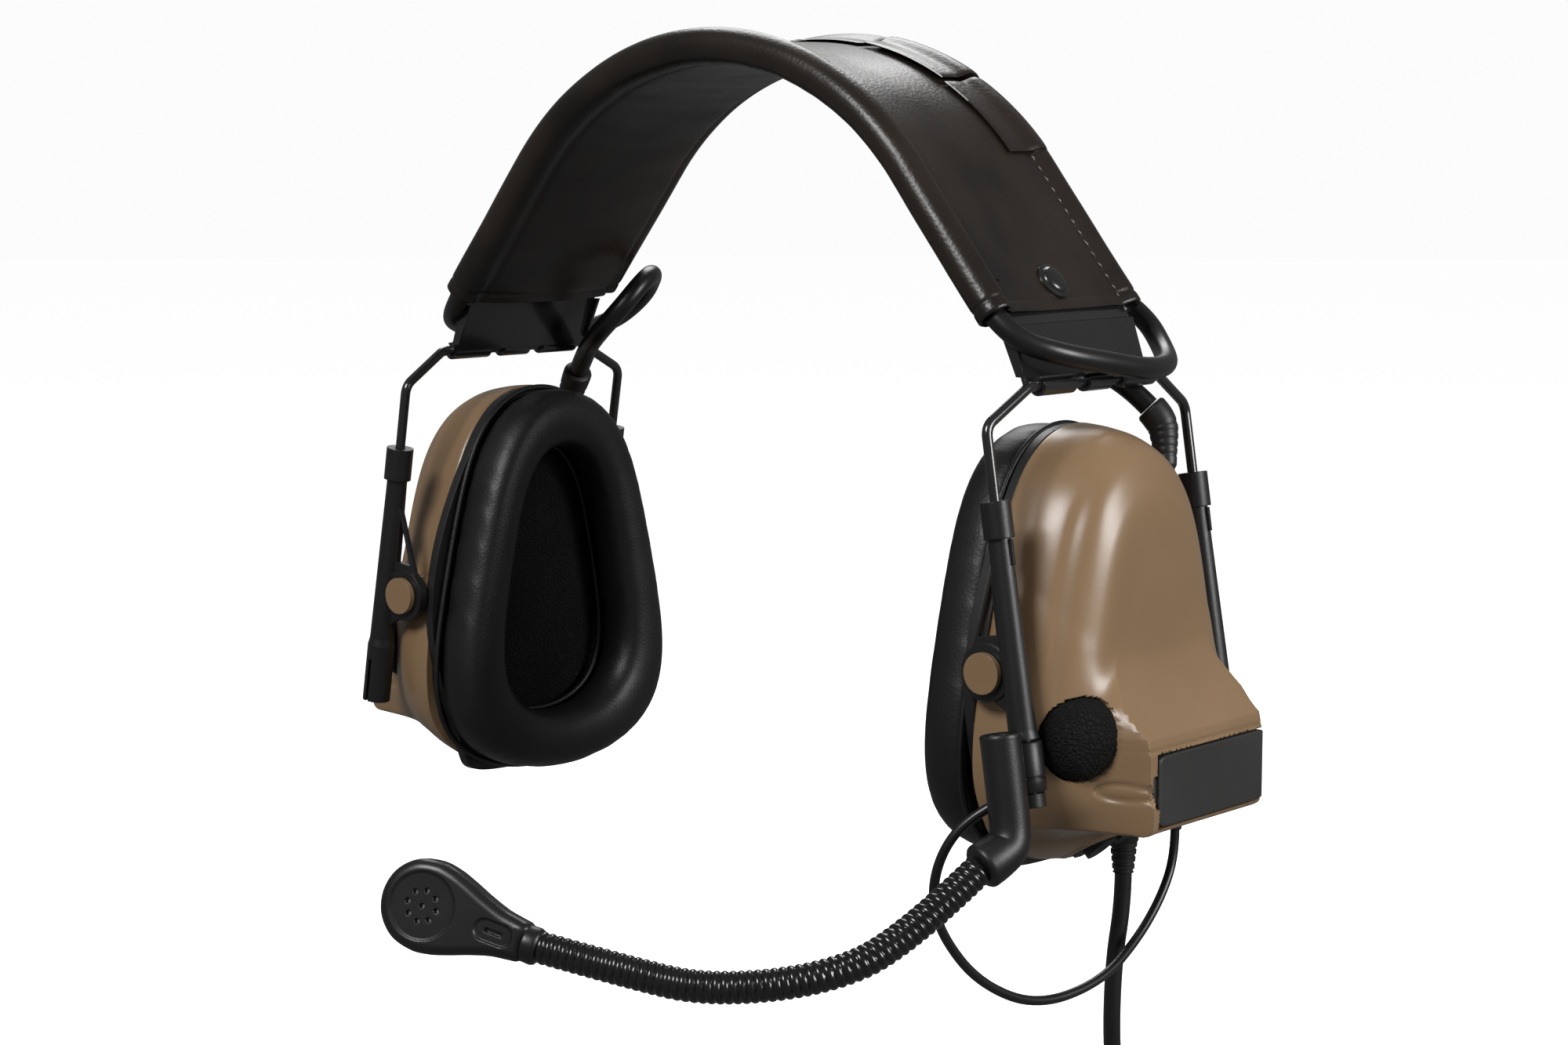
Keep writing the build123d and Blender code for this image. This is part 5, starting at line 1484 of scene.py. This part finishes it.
@dataclass
class Boom:
    """Ribbed gooseneck and the paddle-shaped microphone head at its end."""

    radius: float = 3.85
    rib_pitch: float = 1.95
    route: Points = (
        (110.2, -60.8, -42.8), (104.0, -81.5, -57.3), (94.0, -97.5, -64.0), (72.0, -112.0, -67.4),
        (54.0, -119.4, -64.5), (32.0, -128.3, -60.0),
    )
    head_centre: tuple[float, float, float] = (8.0, -138.1, -52.6)
    head_facing: tuple[float, float, float] = (0.423, -0.884, 0.197)
    head_radius: float = 10.9
    head_thickness: float = 8.0
    neck_half_width: float = 4.9
    neck_reach: float = 26.4

    def gooseneck(self) -> np.ndarray:
        """Ribbed tube: radius less a valley between ribs that wind round it as one long helix.

        The rib's height is |cos(pi (s / pitch - a / 2 pi))|^0.7 at distance s and angle a.
        """
        line = route_line(self.route, 0.24)
        distance = np.linspace(0.0, line_length(line) * 1000, len(line))[:, None]
        turn = np.arange(36)[None] / 36
        crest = np.abs(np.cos(math.pi * (distance / self.rib_pitch - turn))) ** 0.7
        radius = self.radius - 0.55 * (1.0 - crest)
        return tube_grid(line, radius / 1000, 36)

    def head_axes(self) -> tuple[np.ndarray, np.ndarray, np.ndarray]:
        """Along the neck, across the head, and out of its front face."""
        along = np.array(self.route[-1]) - np.array(self.head_centre)
        along /= np.linalg.norm(along)
        out = np.array(self.head_facing)
        out = out - along * out.dot(along)
        out /= np.linalg.norm(out)
        return along, np.cross(out, along), out

    def outline(self, count: int) -> np.ndarray:
        """Pear outline in the head's plane: a round end whose sides run in a soft curve to the neck."""
        radius, reach, neck = self.head_radius, self.neck_reach, self.neck_half_width
        upper = [(-radius, 0.0), (-0.87 * radius, 0.5 * radius), (-0.5 * radius, 0.87 * radius),
                 (0.0, radius), (4.6, radius * 0.955), (9.0, radius * 0.83), (14.0, radius * 0.66),
                 (19.0, neck + 0.75), (reach - 3.2, neck + 0.1), (reach - 0.9, neck - 0.35),
                 (reach, neck - 1.9)]
        lower = [(x, -y) for x, y in upper[:0:-1]]
        return closed_profile(upper + lower, count)

    def face_depth(self, x: np.ndarray, y: np.ndarray) -> np.ndarray:
        """How far the front face is cut back: nine sound holes and an oval clip recess with its slot."""
        holes = [(0.0, 0.0)] + [(3.7 * math.cos(k * math.pi / 4), 3.7 * math.sin(k * math.pi / 4))
                                for k in range(8)]
        depth = sum(1.1 * (1 - smooth(np.hypot(x - hx, y - hy), 0.42, 0.68)) for hx, hy in holes)
        oval = np.hypot(np.maximum(np.abs(x - 18.4) - 2.2, 0.0), y)
        slot = np.maximum(np.abs(x - 18.4) - 1.9, np.abs(y) - 0.35)
        depth = depth + 0.55 * (1 - smooth(oval, 2.3, 2.8)) + 0.8 * (1 - smooth(slot, 0.0, 0.3))
        bowl = 0.35 * (1 - smooth(np.hypot(x, y), 7.6, 8.3))
        return depth + bowl

    def head(self) -> np.ndarray:
        """The head: the outline drawn in towards its middle line over both faces, with rounded edges.

        Rings run from the front face's middle line out to the edge, round it and back over the rear face.
        The edge follows a quarter circle of 2.6 mm at each face.
        """
        outline = self.outline(420)
        middle = np.clip(outline[:, 0], 0.0, self.neck_reach - 5.0)
        spine = np.stack([middle, np.zeros(len(outline))], axis=-1)
        away = outline - spine
        room = np.linalg.norm(away, axis=1)[None]
        fillet, half = 2.6, self.head_thickness / 2
        inner = np.linspace(0.0, 1.0, 64)[:, None] * (room - fillet)
        bend = np.linspace(0.0, math.pi / 2, 14)[1:, None]
        edge = room - fillet + fillet * np.sin(bend)
        rim = half - fillet + fillet * np.cos(bend)
        inset = np.concatenate([inner, edge, edge[::-1], inner[::-1]])
        height = np.concatenate([np.full((64, 1), half), rim, -rim[::-1], np.full((64, 1), -half)])
        flat = spine[None] + unit(away)[None] * inset[..., None]
        front = np.zeros((len(inset), 1))
        front[:64] = 1.0
        height = height - front * self.face_depth(flat[..., 0], flat[..., 1])
        along, across, out = self.head_axes()
        return lowered(np.array(self.head_centre) + flat[..., :1] * along + flat[..., 1:] * across
                       + height[..., None] * out)

    def collar(self) -> np.ndarray:
        """Short turned collar where the gooseneck enters the head's neck."""
        along, _, _ = self.head_axes()
        end = np.array(self.route[-1])
        profile = [(-1.6, 3.4), (-1.2, 4.4), (1.2, 4.5), (2.0, 4.2), (2.4, 3.6)]
        return turned_grid(profile, end, end + along, 40)

    def build(self, wardrobe: Wardrobe) -> None:
        """Makes the gooseneck, the head and the collar."""
        neck = wardrobe.dress(surface("ribbed_gooseneck", self.gooseneck()), "gooseneck_sleeve")
        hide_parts("gooseneck")
        tuple(lowered(self.route[0]))
        tuple(lowered(self.route[2]))
        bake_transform(neck)
        wardrobe.fit("microphone_head", self.head(), "mic_plastic", "boom_arm", "mic_head_front",
                     "mic_head_back", sharp=50.0, weld=True)
        wardrobe.fit("head_collar", self.collar(), "mic_plastic", "boom_arm")
        log.info("gooseneck and microphone head")


# Studio --------------------------------------------------------------------------------------------

@dataclass
class Studio:
    """Plain pale floor under an even white sky, three soft lights and the camera."""

    azimuth: float = 39.9
    elevation: float = 6.9
    distance: float = 0.829
    lens: float = 72.2
    target: tuple[float, float, float] = (0.0042, -0.0039, -0.1186)
    floor_gap: float = 0.003
    floor_thickness: float = 0.02
    floor_reach: tuple[float, float] = (0.05, 9.0)
    floor_glow: float = 0.85
    sky_light: float = 0.15
    sky_seen: float = 0.97

    def floor(self) -> np.ndarray:
        """A wide round slab, its upper and lower faces as rings that grow outwards and come back."""
        columns, rings = 96, 60
        turn = np.arange(columns)[None] * 2 * math.pi / columns
        face = np.geomspace(*self.floor_reach, rings)
        reach = np.concatenate([face, face[::-1]])[:, None]
        x, y = reach * np.cos(turn), reach * np.sin(turn)
        low = CAD_BOX[0][2] - self.floor_gap
        height = low - np.where(np.arange(2 * rings)[:, None] < rings, 0.0, self.floor_thickness)
        return np.stack([x, y, np.broadcast_to(height, x.shape)], axis=-1)

    def build(self) -> None:
        """Makes the floor, the lights and the camera."""
        ground = surface("studio_floor", self.floor())
        pale = bpy.data.materials.new("pale_floor")
        pale.use_nodes = True
        look = {"Base Color": (0.86, 0.86, 0.86, 1), "Roughness": 0.9, "Emission Color": (1, 1, 1, 1),
                "Emission Strength": self.floor_glow}
        for socket, value in look.items():
            pale.node_tree.nodes["Principled BSDF"].inputs[socket].default_value = value
        ground.data.materials.append(pale)
        ground.visible_diffuse = False
        ground.visible_glossy = False
        world = bpy.data.worlds.new("soft_daylight")
        bpy.context.scene.world = world
        self.sky(world)
        self.light("key", (0.1, -1.2, 0.85), 0.5, 17.0)
        self.light("side", (1.35, 0.25, 0.3), 0.55, 15.0)
        self.light("rim", (-0.7, 0.9, 1.0), 0.8, 12.0)
        self.camera()
        bpy.context.scene.view_settings.view_transform = "Standard"

    def sky(self, world: bpy.types.World) -> None:
        """White behind the headset, and a softer grey as a source of light."""
        world.use_nodes = True
        tree = world.node_tree
        background = tree.nodes["Background"]
        background.inputs["Color"].default_value = (1.0, 1.0, 1.0, 1.0)
        ray = add_node(tree, "ShaderNodeLightPath")
        level = add_node(tree, "ShaderNodeMapRange", {"To Min": self.sky_light, "To Max": self.sky_seen})
        join(tree, (ray, "Is Camera Ray", level, "Value"), (level, "Result", background, "Strength"))

    def light(self, name: str, place: tuple[float, float, float], size: float, power: float) -> None:
        """One square soft light that faces the headset."""
        data = bpy.data.lights.new(name, "AREA")
        data.size, data.energy = size, power
        lamp = bpy.data.objects.new(name, data)
        lamp.location = place
        aim = Vector(self.target) - Vector(place)
        lamp.rotation_mode = "QUATERNION"
        lamp.rotation_quaternion = aim.to_track_quat("-Z", "Y")
        bpy.context.scene.collection.objects.link(lamp)

    def camera(self) -> None:
        """Camera at the viewing angle, level, with no shift and no depth of field."""
        turn, rise = math.radians(self.azimuth), math.radians(self.elevation)
        level = math.cos(rise)
        back = Vector((math.sin(turn) * level, -math.cos(turn) * level, math.sin(rise)))
        data = bpy.data.cameras.new("camera")
        data.lens, data.sensor_width = self.lens, 36.0
        data.clip_start, data.clip_end = 0.01, 60.0
        camera = bpy.data.objects.new("camera", data)
        camera.location = Vector(self.target) + back * self.distance
        camera.rotation_mode = "QUATERNION"
        camera.rotation_quaternion = (-back).to_track_quat("-Z", "Y")
        bpy.context.scene.collection.objects.link(camera)
        bpy.context.scene.camera = camera


def main() -> None:
    """Builds the studio, the cords and then each sub-assembly, and reports each one."""
    logging.basicConfig(level=logging.INFO, format="%(name)s: %(message)s")
    Studio().build()
    wardrobe = Wardrobe()
    wardrobe.dress_cad()
    for side in (1.0, -1.0):
        CrossoverLoop(side).build(wardrobe)
    MicrophoneLead().build(wardrobe)
    Downlead().build(wardrobe)
    Headband().build(wardrobe)
    EarCushion().build(wardrobe)
    for side in (1.0, -1.0):
        CupShell(side).build(wardrobe)
        BatteryDoor(side).build(wardrobe)
        CupDressing(side).build(wardrobe)
    BoomBracket().build(wardrobe)
    Boom().build(wardrobe)


if __name__ == "__main__":
    main()
